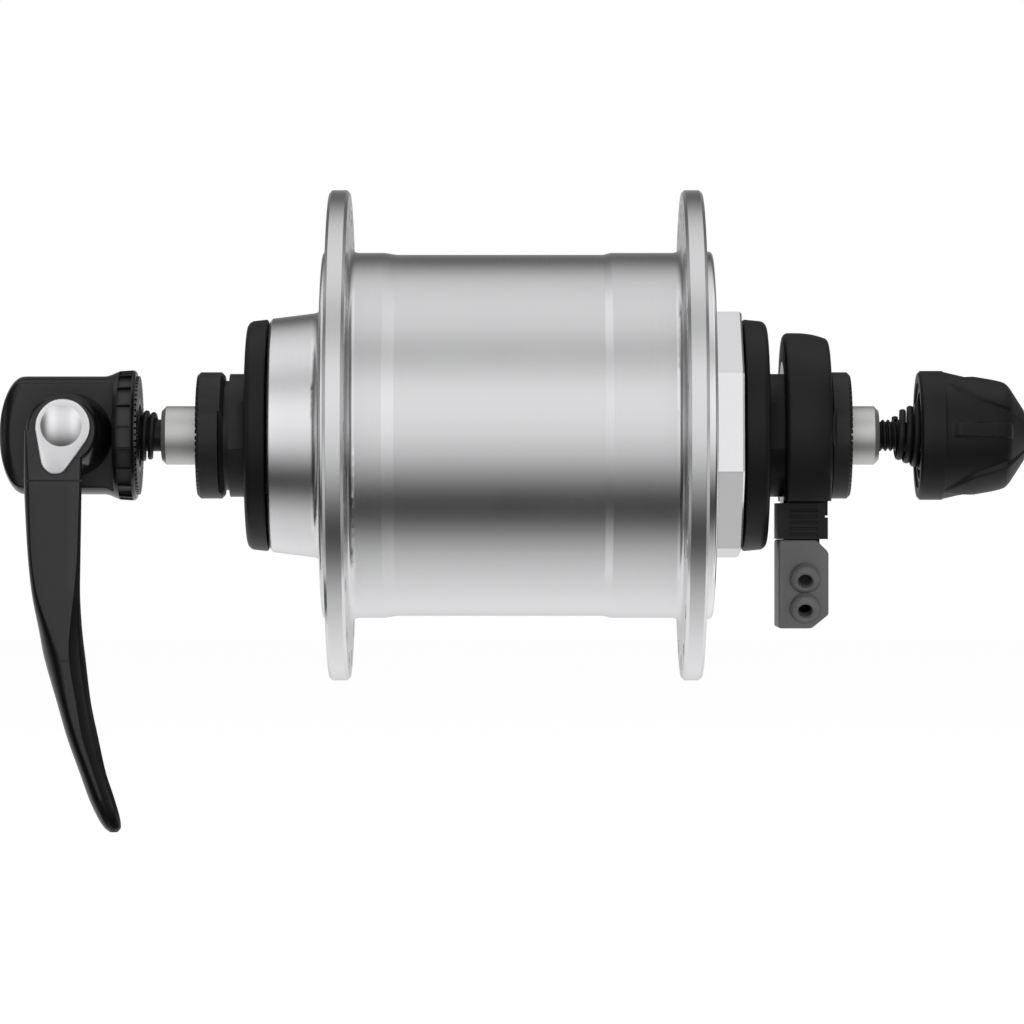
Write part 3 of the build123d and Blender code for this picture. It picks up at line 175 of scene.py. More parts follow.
def add_lamp(name, place, power):
    """A soft square lamp that faces the middle of the object and isn't seen itself."""
    data = bpy.data.lights.new(name, "AREA")
    data.shape = "RECTANGLE"
    data.size = LAMP_SIDE
    data.size_y = LAMP_SIDE
    data.energy = power
    lamp = placed(name, data)
    lamp.location = place
    lamp.rotation_euler = (-Vector(place)).to_track_quat("-Z", "Y").to_euler()
    lamp.visible_camera = False
    lamp.visible_glossy = False


def lay_floor():
    sides = ((-1, -1), (1, -1), (1, 1), (-1, 1))
    corners = [(x * FLOOR_REACH, y * FLOOR_REACH, FLOOR_HEIGHT) for x, y in sides]
    mesh = bpy.data.meshes.new("floor")
    mesh.from_pydata(corners, [], [(0, 1, 2, 3)])
    floor = placed("floor", mesh)
    material = bpy.data.materials.new("pale_floor")
    tree = empty_tree(material)
    matt = output_of(tree, "ShaderNodeBsdfDiffuse", {"Color": FLOOR_COLOUR})
    rays = add_node(tree, "ShaderNodeLightPath").outputs
    seen = calc(tree, "MAXIMUM", rays["Is Camera Ray"], rays["Is Glossy Ray"])
    glow = output_of(tree, "ShaderNodeEmission", {"Strength": calc(tree, "MULTIPLY", seen, FLOOR_GLOW)})
    both = output_of(tree, "ShaderNodeAddShader", {0: matt, 1: glow})
    add_node(tree, "ShaderNodeOutputMaterial", {"Surface": both})
    mesh.materials.append(material)
    floor.visible_glossy = False


# Finishes, with their sizes in millimetres
# A turned grain runs GRAIN_AROUND metres to a radian, and a drawn one counts its way along by GRAIN_ALONG
GRAIN_AROUND, GRAIN_ALONG = 0.0006, 0.06
CLOUD_SIZE = 14.0
# Wear: the pointiness at which an edge starts to show it and at which it is full, and its loss of roughness
WORN_FROM, WORN_TO, WORN_SHINE = 0.515, 0.58, 0.08
EDGE_SAMPLES = 6
# Scale of the bands on wound wire, for a size of 1
WIRE_BANDS = 0.05


def grain_vector(tree, place, kind):
    """Where a grain is read: wrapped round the axle, stretched along it, or as it lies."""
    if kind not in ("turned", "wound", "drawn"):
        return place
    x, y, z = split_xyz(tree, place)
    if kind == "drawn":
        return vector(tree, x, calc(tree, "MULTIPLY", y, GRAIN_ALONG), z)
    squares = calc(tree, "ADD", calc(tree, "MULTIPLY", x, x), calc(tree, "MULTIPLY", z, z))
    around = calc(tree, "MULTIPLY", calc(tree, "ARCTAN2", z, x), GRAIN_AROUND)
    return vector(tree, calc(tree, "SQRT", squares), y, around)


def swing(tree, noise, amount):
    """A noise of 0 to 1 as a change to both sides of nothing."""
    return calc(tree, "MULTIPLY", calc(tree, "SUBTRACT", noise, 0.5), amount)


def finish_of(name, colour, metallic, rough, grain, spreads, wear=(0, 0), specular=0.5, edge=0.0):
    """A finish for metal or plastic.

    grain is its kind (turned, drawn, moulded, cast or wound), size and depth. spreads are how far
    roughness and tone vary. wear is its amount and its grey level. edge is the radius of its soft edges.
    """
    kind, grain_size, grain_depth = grain
    rough_spread, tone_spread = spreads
    wear_amount, wear_level = wear
    material = bpy.data.materials.new(name)
    tree = empty_tree(material)
    place = add_node(tree, "ShaderNodeTexCoord").outputs["Object"]
    grained = grain_vector(tree, place, kind)
    detail = 4 if kind == "cast" else 2
    fine = output_of(tree, "ShaderNodeTexNoise",
                     {"Vector": grained, "Scale": 1 / (grain_size * MM), "Detail": detail})
    cloud = output_of(tree, "ShaderNodeTexNoise",
                      {"Vector": place, "Scale": 1 / (CLOUD_SIZE * MM), "Detail": 5, "Roughness": 0.6})

    uneven = calc(tree, "ADD", swing(tree, cloud, 2 * rough_spread), swing(tree, fine, rough_spread))
    roughness = calc(tree, "ADD", uneven, rough, clamp=True)
    tone = calc(tree, "ADD", swing(tree, cloud, tone_spread), swing(tree, fine, tone_spread))
    shown = output_of(tree, "ShaderNodeVectorMath", {0: colour, "Scale": calc(tree, "ADD", tone, 1.0)},
                      operation="SCALE")
    if wear_amount > 0:
        pointed = add_node(tree, "ShaderNodeNewGeometry").outputs["Pointiness"]
        edges = output_of(tree, "ShaderNodeMapRange",
                          {"Value": pointed, "From Min": WORN_FROM, "From Max": WORN_TO})
        patchy = calc(tree, "MULTIPLY", edges, cloud)
        worn = calc(tree, "MULTIPLY", patchy, 2 * wear_amount, clamp=True)
        worn_colour = (wear_level, wear_level, wear_level, 1)
        mixed = add_node(tree, "ShaderNodeMix", {0: worn, 6: shown, 7: worn_colour}, data_type="RGBA")
        shown = mixed.outputs[2]
        roughness = calc(tree, "SUBTRACT", roughness, calc(tree, "MULTIPLY", worn, WORN_SHINE), clamp=True)

    relief = {"Strength": 1.0, "Distance": grain_depth * MM, "Height": fine}
    if kind == "wound":
        rings = add_node(tree, "ShaderNodeTexWave",
                         {"Vector": grained, "Scale": WIRE_BANDS / (grain_size * MM)},
                         wave_type="BANDS", bands_direction="Y")
        relief["Height"] = rings.outputs["Fac"]
    if edge > 0:
        relief["Normal"] = output_of(tree, "ShaderNodeBevel", {"Radius": edge * MM}, samples=EDGE_SAMPLES)
    shade = output_of(tree, "ShaderNodeBsdfPrincipled", {
        "Base Color": shown, "Metallic": metallic, "Roughness": roughness,
        "Specular IOR Level": specular, "Normal": output_of(tree, "ShaderNodeBump", relief)})
    add_node(tree, "ShaderNodeOutputMaterial", {"Surface": shade})
    return material


# Each finish: colour, metallic, roughness, grain, spreads, and then wear, specular and edge where it has them
FINISHES = {
    "satin_alloy": ((0.84, 0.84, 0.845), 1, 0.22, ("turned", 0.16, 0.0025), (0.05, 0.05),
                    dict(wear=(0.3, 0.95), edge=0.12)),
    "polished_alloy": ((0.96, 0.96, 0.965), 1, 0.13, ("turned", 0.3, 0.0012), (0.05, 0.03), dict(edge=0.15)),
    "bright_steel": ((0.74, 0.74, 0.745), 1, 0.18, ("turned", 0.2, 0.002), (0.07, 0.05), dict(edge=0.1)),
    "axle_steel": ((0.70, 0.695, 0.68), 0.85, 0.42, ("turned", 0.12, 0.003), (0.06, 0.08), dict(edge=0.1)),
    "black_steel": ((0.007, 0.007, 0.0073), 0.0, 0.4, ("cast", 0.25, 0.003), (0.06, 0.3),
                    dict(wear=(0.3, 0.05), specular=0.27, edge=0.08)),
    "black_plastic": ((0.006, 0.006, 0.0062), 0, 0.45, ("moulded", 0.3, 0.003), (0.06, 0.25),
                      dict(wear=(0.3, 0.02), specular=0.3, edge=0.1)),
    "panel_black": ((0.021, 0.021, 0.0213), 0, 0.5, ("moulded", 0.35, 0.003), (0.05, 0.15),
                    dict(wear=(0.2, 0.05))),
    "pocket_black": ((0.02, 0.02, 0.0203), 0, 0.42, ("moulded", 0.35, 0.003), (0.05, 0.15), {}),
    "gloss_black": ((0.004, 0.004, 0.0041), 0, 0.18, ("moulded", 0.8, 0.0015), (0.05, 0.2),
                    dict(wear=(0.2, 0.02), specular=0.4, edge=0.2)),
    "grey_plastic": ((0.115, 0.115, 0.117), 0, 0.42, ("moulded", 0.3, 0.004), (0.06, 0.1),
                     dict(wear=(0.4, 0.19), edge=0.15)),
    "dark_steel": ((0.10, 0.10, 0.102), 1, 0.3, ("turned", 0.2, 0.002), (0.07, 0.2), dict(edge=0.06)),
    "nickel": ((0.86, 0.86, 0.865), 1, 0.16, ("moulded", 0.3, 0.0015), (0.05, 0.04), dict(edge=0.1)),
    "soft_iron": ((0.30, 0.29, 0.28), 1, 0.5, ("cast", 0.4, 0.02), (0.1, 0.3), {}),
    "magnet_grey": ((0.07, 0.07, 0.075), 0.3, 0.6, ("cast", 0.3, 0.02), (0.1, 0.3), {}),
    "wound_copper": ((0.70, 0.36, 0.20), 1, 0.32, ("wound", 0.35, 0.06), (0.1, 0.25), {}),
    "brass": ((0.78, 0.66, 0.42), 1, 0.3, ("drawn", 0.2, 0.003), (0.08, 0.1), {}),
    "nylon": ((0.74, 0.70, 0.62), 0, 0.45, ("moulded", 0.3, 0.004), (0.06, 0.06), {}),
    "rubber": ((0.012, 0.012, 0.012), 0, 0.62, ("moulded", 0.2, 0.01), (0.08, 0.2), {}),
    "red_enamel": ((0.42, 0.05, 0.04), 0, 0.3, ("drawn", 0.3, 0.002), (0.05, 0.1), {}),
}
finishes = {name: finish_of(name, *given, **more) for name, (*given, more) in FINISHES.items()}
NODES_BY_FINISH = {
    "satin_alloy": ("hub_shell",),
    "polished_alloy": ("right_end_cap",),
    "bright_steel": ("terminal_plate", "left_bearing_cup", "right_bearing_cup"),
    "axle_steel": ("hollow_axle", "left_stator_nut", "right_stator_nut", "left_cage", "right_cage",
                   "cam_shaft", "nut_insert"),
    "black_steel": ("left_locknut", "right_locknut", "left_washer", "left_cone", "right_cone",
                    "left_spring", "right_spring", "cam_clip", "skewer_rod"),
    "black_plastic": ("left_dust_cover", "right_dust_cover", "terminal_ring", "nut_cover", "plug_body"),
    "gloss_black": ("lever_housing", "lever"),
    "grey_plastic": ("plug_cap",),
    "dark_steel": ("housing_ring", "nut_ring"),
    "nickel": ("left_balls", "right_balls", "lever_cap"),
    "soft_iron": ("left_yoke", "right_yoke", "stator_core", "flux_ring"),
    "magnet_grey": ("ring_magnets",),
    "wound_copper": ("coil_winding",),
    "brass": ("live_contact", "plug_contacts"),
    "nylon": ("bobbin",),
    "rubber": ("left_seal", "right_seal"),
    "red_enamel": ("lead_wire",),
}


# Making pieces: every size below is in millimetres, but for the springs' own
MERGE_DISTANCE = 0.0002


def cleaned(mesh):
    """The mesh with its doubles merged and its faces turned outwards."""
    work = bmesh.new()
    work.from_mesh(mesh)
    bmesh.ops.remove_doubles(work, verts=work.verts, dist=MERGE_DISTANCE * MM)
    bmesh.ops.recalc_face_normals(work, faces=work.faces)
    work.to_mesh(mesh)
    work.free()
    return mesh


def skin(rings):
    """A closed mesh over rings of points, each with as many points as the next, with both ends filled."""
    count = len(rings[0])
    points = [(x * MM, y * MM, z * MM) for ring in rings for x, y, z in ring]
    last = len(points) - count
    faces = []
    for start in range(0, last, count):
        end = start + count
        for side in range(count):
            after = (side + 1) % count
            faces.append((start + side, start + after, end + after, end + side))
    faces.append(tuple(range(count)))
    faces.append(tuple(range(last, len(points))))
    mesh = bpy.data.meshes.new("shape")
    mesh.from_pydata(points, [], faces)
    return cleaned(mesh)


def full_turn(sides):
    """Angles in equal steps all round, in radians."""
    return [2 * pi * n / sides for n in range(sides)]


def ring_x(x, radius, y, z, sides):
    """A ring square to X."""
    return [(x, y + radius * cos(turn), z + radius * sin(turn)) for turn in full_turn(sides)]


def ring_y(y, radius, turns):
    """A ring round the axle."""
    return [(radius * cos(turn), y, radius * sin(turn)) for turn in turns]


def block(low, high):
    """A block between its lowest and its highest corner."""
    return skin([[(x, low[1], low[2]), (x, high[1], low[2]), (x, high[1], high[2]), (x, low[1], high[2])]
                 for x in (low[0], high[0])])


def baked(piece):
    """The mesh of a piece with its modifiers carried out. The piece itself is taken away."""
    graph = bpy.context.evaluated_depsgraph_get()
    graph.update()
    mesh = bpy.data.meshes.new_from_object(piece.evaluated_get(graph))
    bpy.data.objects.remove(piece)
    return mesh


def joined_with(mesh, tool, operation):
    """The mesh with a tool added to it or cut from it."""
    blank = placed("blank", mesh)
    cutter = placed("cutter", tool)
    step = blank.modifiers.new("step", "BOOLEAN")
    step.operation = operation
    step.solver = "EXACT"
    step.object = cutter
    result = baked(blank)
    bpy.data.objects.remove(cutter)
    return result


def cut(mesh, *tools):
    """The mesh with each tool cut from it in turn."""
    for tool in tools:
        mesh = joined_with(mesh, tool, "DIFFERENCE")
    return mesh


def settle(name, mesh, finish_names, body, nodes, crease):
    """The finished piece, with its materials and creases, the body it rides on and the nodes it replaces."""
    for finish_name in finish_names:
        mesh.materials.append(finishes[finish_name])
    mesh.polygons.foreach_set("use_smooth", [True] * len(mesh.polygons))
    mesh.set_sharp_from_angle(angle=radians(crease))
    mesh.name = name
    piece = placed(name, mesh)
    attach(piece, body)
    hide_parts(*nodes)
    return piece


def soft_step(share):
    """0 up to a share of 0, 1 from a share of 1, and a soft rise between."""
    share = min(max(share, 0.0), 1.0)
    return share * share * (3 - 2 * share)


def at(table, value):
    """A table of pairs read at a value, in straight lines between its pairs."""
    for (low_key, low_value), (high_key, high_value) in zip(table, table[1:]):
        if value <= high_key:
            share = max((value - low_key) / (high_key - low_key), 0.0)
            return low_value + (high_value - low_value) * share
    return table[-1][1]


def eased(stations, steps):
    """Stations of numbers joined by smooth curves, with some steps from each to the next."""
    rows = []
    last = len(stations) - 1
    for number in range(last):
        before = stations[max(number - 1, 0)]
        start, end = stations[number], stations[number + 1]
        after = stations[min(number + 2, last)]
        span = end[0] - start[0]
        for step in range(steps):
            t = step / steps
            row = []
            for k in range(len(start)):
                leave = (end[k] - before[k]) / (end[0] - before[0]) * span
                arrive = (after[k] - start[k]) / (after[0] - start[0]) * span
                row.append((2 * t ** 3 - 3 * t ** 2 + 1) * start[k] + (t ** 3 - 2 * t ** 2 + t) * leave
                           + (3 * t ** 2 - 2 * t ** 3) * end[k] + (t ** 3 - t ** 2) * arrive)
            rows.append(row)
    rows.append(list(stations[last]))
    return rows


# Skewer lever: it turns about a line along X that crosses the axle's own line at PIVOT
PIVOT = 69.2
FRONT_FACE = -13.0
LEVER_SIDES, BORE_SIDES = 96, 64
# Down the arm: height, left edge, right edge, left and right edge of its front facet, front, back
ARM_STATIONS = [
    (0.6, 75.6, 66.7, 75.2, 67.0, FRONT_FACE, -4.95),
    (-6.9, 75.7, 66.85, 74.85, 67.2, FRONT_FACE, -4.95),
    (-13.0, 75.45, 66.95, 74.65, 67.4, FRONT_FACE, -4.9),
    (-18.9, 75.07, 67.05, 74.4, 67.62, FRONT_FACE, -2.2),
    (-24.4, 74.5, 67.13, 73.5, 68.1, FRONT_FACE, 1.0),
    (-29.8, 73.55, 66.87, 71.6, 68.7, FRONT_FACE, 3.2),
    (-34.0, 72.85, 66.42, 70.1, 68.8, FRONT_FACE, 4.2),
    (-40.7, 70.84, 65.59, 68.95, 67.75, -12.75, 4.5),
    (-46.1, 69.3, 64.5, 67.5, 66.8, -12.5, 4.4),
    (-51.5, 67.4, 63.3, 65.6, 65.1, -12.1, 4.1),
    (-55.4, 66.05, 62.05, 64.2, 63.8, -11.6, 3.7),
    (-58.0, 64.9, 61.35, 63.2, 62.9, -10.9, 3.1),
    (-59.7, 63.85, 61.2, 62.6, 62.4, -10.1, 2.2),
    (-60.4, 63.0, 61.7, 62.4, 62.3, -9.3, 1.3),
]
ARM_STEPS = 5
# Shares of the arm's width: the corners behind, and the left side's draw-in there; of its depth: the right's
CORNER_SHARE, LEFT_DRAW, RIGHT_DRAW = 0.34, 0.03, 0.072
# The ridge right of the facet, in shares of its width: how far back and how far across its points lie
RIDGE_POINTS, RIDGE_BACK = ((0.30, 0.52), (0.58, 0.80)), 0.96
# The lip left of the facet: its depth in shares of its width, and how much further back its outer edge lies
LIP_DEPTH, LIP_SET_BACK = 1.5, 0.3
# Boss from back to front: x, radius, and y and z of its middle
BOSS_RINGS = [(-4.5, 6.4, PIVOT, 0), (-12.3, 5.5, PIVOT + 0.65, 0.55), (-12.75, 5.25, PIVOT + 0.7, 0.6),
              (FRONT_FACE, 4.95, PIVOT + 0.7, 0.6)]
# A fine groove across the arm below the cap, and a notch at the lower end of the front facet
ARM_GROOVE = ((-14, 66.0, -7.2), (-12.7, 77.0, -6.9))
ARM_NOTCH = ((-14, 68.9, -34.5), (-12.75, 69.9, -34.15))
# Silver cap: y and z of the middle of its round head and tail, and of its dome
CAP_CENTRE, CAP_TAIL, DOME_CENTRE = (69.7, 1.15), (70.84, -3.84), (69.92, 1.3)
CAP_HEAD_R, CAP_TAIL_R = 4.2, 2.22
CAP_FACE, CAP_BACK, CAP_GAP, SEAT_FRONT = -13.4, -11.8, 0.02, -14.5
# Its rounded rim from the back to the face, as x and draw-in, and its dome's rings, part of a sphere
CAP_RIM = ((CAP_BACK, 0.0), (-13.1, 0.0), (-13.28, 0.05), (-13.37, 0.14), (CAP_FACE, 0.28))
DOME_RISE, DOME_SPHERE = 0.6, 8.57
DOME_RADII = (3.35, 3.17, 2.95, 2.6, 2.2, 1.7, 1.1, 0.5, 0.15)
RAY_REACH, HALVINGS = 9.0, 30
# The bore for the cam shaft: x from, x to, radius
LEVER_BORE = (-4.4, -8.8, 3.02)
# A face of the arm or the housing is turned to the front where the X of its normal is less than this
FRONTWARD = -0.985
# The arm's faces in front of this X are its front facet
FACET_BACK = -11.3


def pivot_bore(x_from, x_to, radius):
    """A cutter for a bore about the lever's pivot."""
    return skin([ring_x(x, radius, PIVOT, 0, BORE_SIDES) for x in (x_from, x_to)])


def arm_section(z, left, right, facet_left, facet_right, front, back):
    """The arm cut level: its facet, a ridge, the two corners behind, and a round lip back to the facet."""
    width = left - right
    corner = CORNER_SHARE * width
    ridge = facet_right - right
    lip = left - facet_left
    right_back = right + RIGHT_DRAW * (back - front)
    quarter = [pi / 2 * n / 5 for n in range(6)]
    loop = [(front, facet_left + (facet_right - facet_left) * n / 4) for n in range(5)]
    loop += [(front + behind * ridge, facet_right - across * ridge) for behind, across in RIDGE_POINTS]
    loop.append((front + RIDGE_BACK * ridge, right))
    loop += [(back - corner + corner * sin(turn), right_back + corner * (1 - cos(turn))) for turn in quarter]
    loop += [(back - corner + corner * cos(turn), left - LEFT_DRAW * width - corner * (1 - sin(turn)))
             for turn in quarter]
    for n in range(9):
        turn = pi / 2 * n / 9
        loop.append((front + LIP_DEPTH * lip * (1 - sin(turn)) + LIP_SET_BACK * (1 - n / 9),
                     facet_left + lip * cos(turn)))
    return [(x, y, z) for x, y in loop]


def cap_seat():
    """A cutter with the cap's outline and a little room round it: a teardrop about the cap's two centres."""
    rings = []
    for x in (SEAT_FRONT, CAP_BACK):
        ring = []
        for turn in full_turn(LEVER_SIDES):
            out_y, out_z = cos(turn), sin(turn)
            reach_head = CAP_HEAD_R + CAP_GAP + CAP_CENTRE[0] * out_y + CAP_CENTRE[1] * out_z
            reach_tail = CAP_TAIL_R + CAP_GAP + CAP_TAIL[0] * out_y + CAP_TAIL[1] * out_z
            centre, radius = (CAP_CENTRE, CAP_HEAD_R) if reach_head >= reach_tail else (CAP_TAIL, CAP_TAIL_R)
            reach = radius + CAP_GAP
            ring.append((x, centre[0] + reach * out_y, centre[1] + reach * out_z))
        rings.append(ring)
    return skin(rings)


def paint_front_facet(mesh):
    """The second finish on the arm's flat front."""
    for face in mesh.polygons:
        if face.normal.x < FRONTWARD and face.center.x < FACET_BACK * MM:
            face.material_index = 1


def make_lever():
    arm = skin([arm_section(*row) for row in eased(ARM_STATIONS, ARM_STEPS)])
    boss = skin([ring_x(*given, LEVER_SIDES) for given in BOSS_RINGS])
    lever = cut(joined_with(boss, arm, "UNION"), cap_seat(), pivot_bore(*LEVER_BORE), block(*ARM_GROOVE),
                block(*ARM_NOTCH))
    settle("lever_arm", lever, ("gloss_black", "panel_black"), "cam_lever", ("lever",), crease=24)
    paint_front_facet(lever)


def inside_cap(y, z, inset):
    """True inside the teardrop drawn in from its edge by the inset."""
    head, tail = CAP_HEAD_R - inset, CAP_TAIL_R - inset
    steps = 32
    for n in range(steps + 1):
        t = n / steps
        centre_y = CAP_CENTRE[0] + (CAP_TAIL[0] - CAP_CENTRE[0]) * t
        centre_z = CAP_CENTRE[1] + (CAP_TAIL[1] - CAP_CENTRE[1]) * t
        if hypot(y - centre_y, z - centre_z) <= head + (tail - head) * t:
            return True
    return False


def cap_ring(x, inset):
    """The teardrop drawn in by the inset, found by halving along rays from the middle of its head."""
    ring = []
    for turn in full_turn(LEVER_SIDES):
        low, high = 0.0, RAY_REACH
        for _ in range(HALVINGS):
            reach = (low + high) / 2
            if inside_cap(CAP_CENTRE[0] + reach * cos(turn), CAP_CENTRE[1] + reach * sin(turn), inset):
                low = reach
            else:
                high = reach
        ring.append((x, CAP_CENTRE[0] + low * cos(turn), CAP_CENTRE[1] + low * sin(turn)))
    return ring


def make_lever_cap():
    rings = [cap_ring(x, inset) for x, inset in CAP_RIM]
    for radius in DOME_RADII:
        rise = DOME_RISE - (DOME_SPHERE - (DOME_SPHERE ** 2 - radius ** 2) ** 0.5)
        rings.append(ring_x(CAP_FACE - max(rise, 0.0), radius, *DOME_CENTRE, LEVER_SIDES))
    settle("lever_cap_plate", skin(rings), ("nickel",), "cam_lever", ("lever_cap",), crease=14)


# Lever housing along the axle: a rounded lip, a mouth with pockets all round, a flare, a barrel and a dome
LIP_FACE, LIP_END, LIP_ROUND, LIP_R = 59.3, 59.9, 0.6, 9.4
LIP_LEVELS = (LIP_FACE, 59.36, 59.5, 59.7)
MOUTH_R, MOUTH_END, FLARE, FLARE_DROP = 10.0, 61.15, 3.15, 0.94
BARREL_R, BARREL_STEP, DOME_FROM, DOME_DEPTH, DOME_TIP = 9.06, 0.35, 76.5, 3.9, 80.39
# In its mouth: the recess for the serrated ring, and the well for the spring
RECESS_FLOOR, RECESS_R = 59.7, 9.12
WELL_FLOOR, WELL_R = 61.9, 4.9
# Pockets with flat floors: how many, turn of the first, half angle, radius of the floor, and ends
POCKETS, POCKET_TURN, POCKET_HALF, POCKET_R = 18, 2.5, 9.3, 9.2
POCKET_FROM, POCKET_END = 59.85, 61.9
POCKET_SHARES = (-1.0, -0.995, -0.75, -0.5, -0.25, 0.0, 0.25, 0.5, 0.75, 0.995, 1.0)
# The front is cut flat at FLAT_X from FLAT_FROM on, and the flat rolls back into the dome in a curved line
FLAT_FROM, FLAT_X, FLAT_ROLL = 62.6, -4.2, 2.6
FLAT_SHARPNESS, FLAT_SOFTNESS = 5.0, 0.6
ROLL_FROM, ROLL_CURVE = 78.1, 0.045
# What a ring of the housing goes through
PLAIN, POCKETED, FLATTENED = range(3)
# Faces of the flat lie between these X, and faces of the pockets' floors this far from the axle
FLAT_BAND, FLOOR_BAND = (-4.35, -4.0), (9.1, 9.6)
HOUSING_SLOT = ((-2.75, 59.0, -6.3), (2.75, 76.4, 6.3))
# The cam shaft's bores in front and behind, and the well of its clip: x from, x to, radius
HOUSING_BORES = ((-6.0, 0.0, 4.32), (0.0, 12.0, 2.22), (5.95, 14.0, 3.9))


def housing_radius(y):
    if y < LIP_END:
        return LIP_R + LIP_ROUND * max(1 - ((LIP_END - y) / LIP_ROUND) ** 2, 0.0) ** 0.5
    if y <= MOUTH_END:
        return MOUTH_R
    if y < MOUTH_END + FLARE:
        return MOUTH_R - FLARE_DROP * soft_step((y - MOUTH_END) / FLARE)
    if y <= DOME_FROM:
        return BARREL_R
    return BARREL_R * max(1 - ((y - DOME_FROM) / DOME_DEPTH) ** 2, 0.0) ** 0.5


def flattened(x, y, z):
    """The x of a point of the housing once its front is cut flat, with a soft edge round the flat."""
    roll_start = ROLL_FROM - ROLL_CURVE * z ** 2
    roll = min(max((y - roll_start) / (DOME_FROM + DOME_DEPTH - roll_start), 0.0), 1.0)
    flat_x = FLAT_X + FLAT_ROLL * (1 - (1 - roll ** 2) ** 0.5)
    over = (x - flat_x) * FLAT_SHARPNESS
    return flat_x + (over + (over ** 2 + FLAT_SOFTNESS) ** 0.5) / (2 * FLAT_SHARPNESS)


def paint_housing(mesh):
    """The second finish on the front flat, the third on the pockets' floors."""
    for face in mesh.polygons:
        x, y, z = face.center / MM
        if face.normal.x < FRONTWARD and FLAT_BAND[0] < x < FLAT_BAND[1]:
            face.material_index = 1
        elif LIP_END < y < POCKET_END - 0.05 and FLOOR_BAND[0] < hypot(x, z) < FLOOR_BAND[1]:
            face.material_index = 2


def make_housing():
    # Round the axle: turn, turn from the middle of its pocket, and whether it is in the pocket
    turns = []
    for pocket in range(POCKETS):
        middle = 360 / POCKETS * pocket + POCKET_TURN
        for share in POCKET_SHARES:
            off = POCKET_HALF * share
            turns.append((radians(middle + off), radians(off), abs(share) < 1))
    levels = [(y, PLAIN) for y in (*LIP_LEVELS, POCKET_FROM)]
    levels += [(POCKET_FROM, POCKETED), (POCKET_END, POCKETED)]
    levels += [(y, PLAIN) for y in (POCKET_END, 62.25, FLAT_FROM)]
    levels += [(FLAT_FROM + BARREL_STEP * n, FLATTENED) for n in range(40)]
    levels += [(DOME_FROM + DOME_DEPTH * sin(pi / 2 * n / 16), FLATTENED) for n in range(1, 16)]
    levels += [(DOME_TIP, FLATTENED)]
    inner = ((WELL_FLOOR, WELL_R), (RECESS_FLOOR, WELL_R), (RECESS_FLOOR, RECESS_R), (LIP_FACE, RECESS_R))
    rings = [ring_y(y, radius, [turn for turn, _, _ in turns]) for y, radius in inner]
    for y, kind in levels:
        ring = []
        for turn, off, sunk in turns:
            radius = housing_radius(y)
            if kind == POCKETED and sunk:
                radius = min(radius, POCKET_R / cos(off))
            x, z = radius * cos(turn), radius * sin(turn)
            if kind == FLATTENED and x < -1.0:
                x = flattened(x, y, z)
            ring.append((x, y, z))
        rings.append(ring)
    body = cut(skin(rings), block(*HOUSING_SLOT), *(pivot_bore(*bore) for bore in HOUSING_BORES))
    settle("lever_housing_body", body, ("gloss_black", "panel_black", "pocket_black"), "housing",
           ("lever_housing",), crease=26)
    paint_housing(body)


# Plug cap, with two nozzles that the wires leave through, turned a little downwards
PLUG_CAP_OUTLINE = [(-38.8, -16.0), (-44.5, -16.0), (-46.4, -17.9), (-46.4, -27.4), (-43.8, -29.5),
                    (-38.8, -29.5)]
PLUG_CAP_HALF, PLUG_CAP_ROUND = 7.2, 0.38
PLUG_CAP_HOLLOW = ((-5.8, -45.3, -27.1), (5.8, -39.9, -15.0))
NOZZLE_Y, NOZZLE_HEIGHTS, NOZZLE_LEAN = -42.8, (-21.95, -26.5), radians(24)
# Along a nozzle from the cap's face: reach and radius of its rounded rim, which turns in to the wire's hole
NOZZLE_RIM = [(-1.2, 2.3), (0.15, 2.3), (0.55, 2.2), (0.9, 1.95), (1.1, 1.6), (1.12, 1.35), (0.95, 1.15),
              (0.7, 1.06)]
WIRE_HOLE = [(-2.0, 1.06), (2.0, 1.06)]
NOZZLE_SIDES = 48


def nozzle(z, profile):
    """A round body that leans down from the cap's face, with its middle at a height."""
    rings = []
    for reach, radius in profile:
        ring = []
        for turn in full_turn(NOZZLE_SIDES):
            side, rise = radius * cos(turn), radius * sin(turn)
            x = -PLUG_CAP_HALF - reach * cos(NOZZLE_LEAN) - rise * sin(NOZZLE_LEAN)
            ring.append((x, NOZZLE_Y + side, z - reach * sin(NOZZLE_LEAN) + rise * cos(NOZZLE_LEAN)))
        rings.append(ring)
    return skin(rings)


def make_plug_cap():
    ends = [[(x, y, z) for y, z in PLUG_CAP_OUTLINE] for x in (-PLUG_CAP_HALF, PLUG_CAP_HALF)]
    blank = placed("blank", skin(ends))
    soft = blank.modifiers.new("soft", "BEVEL")
    soft.width = PLUG_CAP_ROUND * MM
    soft.segments = 4
    body = baked(blank)
    for z in NOZZLE_HEIGHTS:
        body = cut(joined_with(body, nozzle(z, NOZZLE_RIM), "UNION"), nozzle(z, WIRE_HOLE))
    body = cut(body, block(*PLUG_CAP_HOLLOW))
    settle("plug_cap_shell", body, ("grey_plastic",), "wire_cap", ("plug_cap",), crease=28)


# Skewer rod, with a rolled thread on its nut end and an eye for the cam at the other
ROD_SIDES, ROD_R, ROD_TIP_R = 48, 2.44, 1.6
THREAD_FROM, THREAD_TO, PITCH, STEPS_PER_PITCH = -70.5, -50.0, 0.8, 8
THREAD_CORE_R, THREAD_HEIGHT = 2.05, 0.4
# In shares of half a pitch: the thread's flat root, and its flank. Its first turn widens by TIP_SLOPE
THREAD_ROOT, THREAD_FLANK, TIP_SLOPE = 0.12, 0.7, 1.2
SHANK = [(-49.9, 2.3), (-49.5, ROD_R), (20.0, ROD_R), (65.8, ROD_R)]
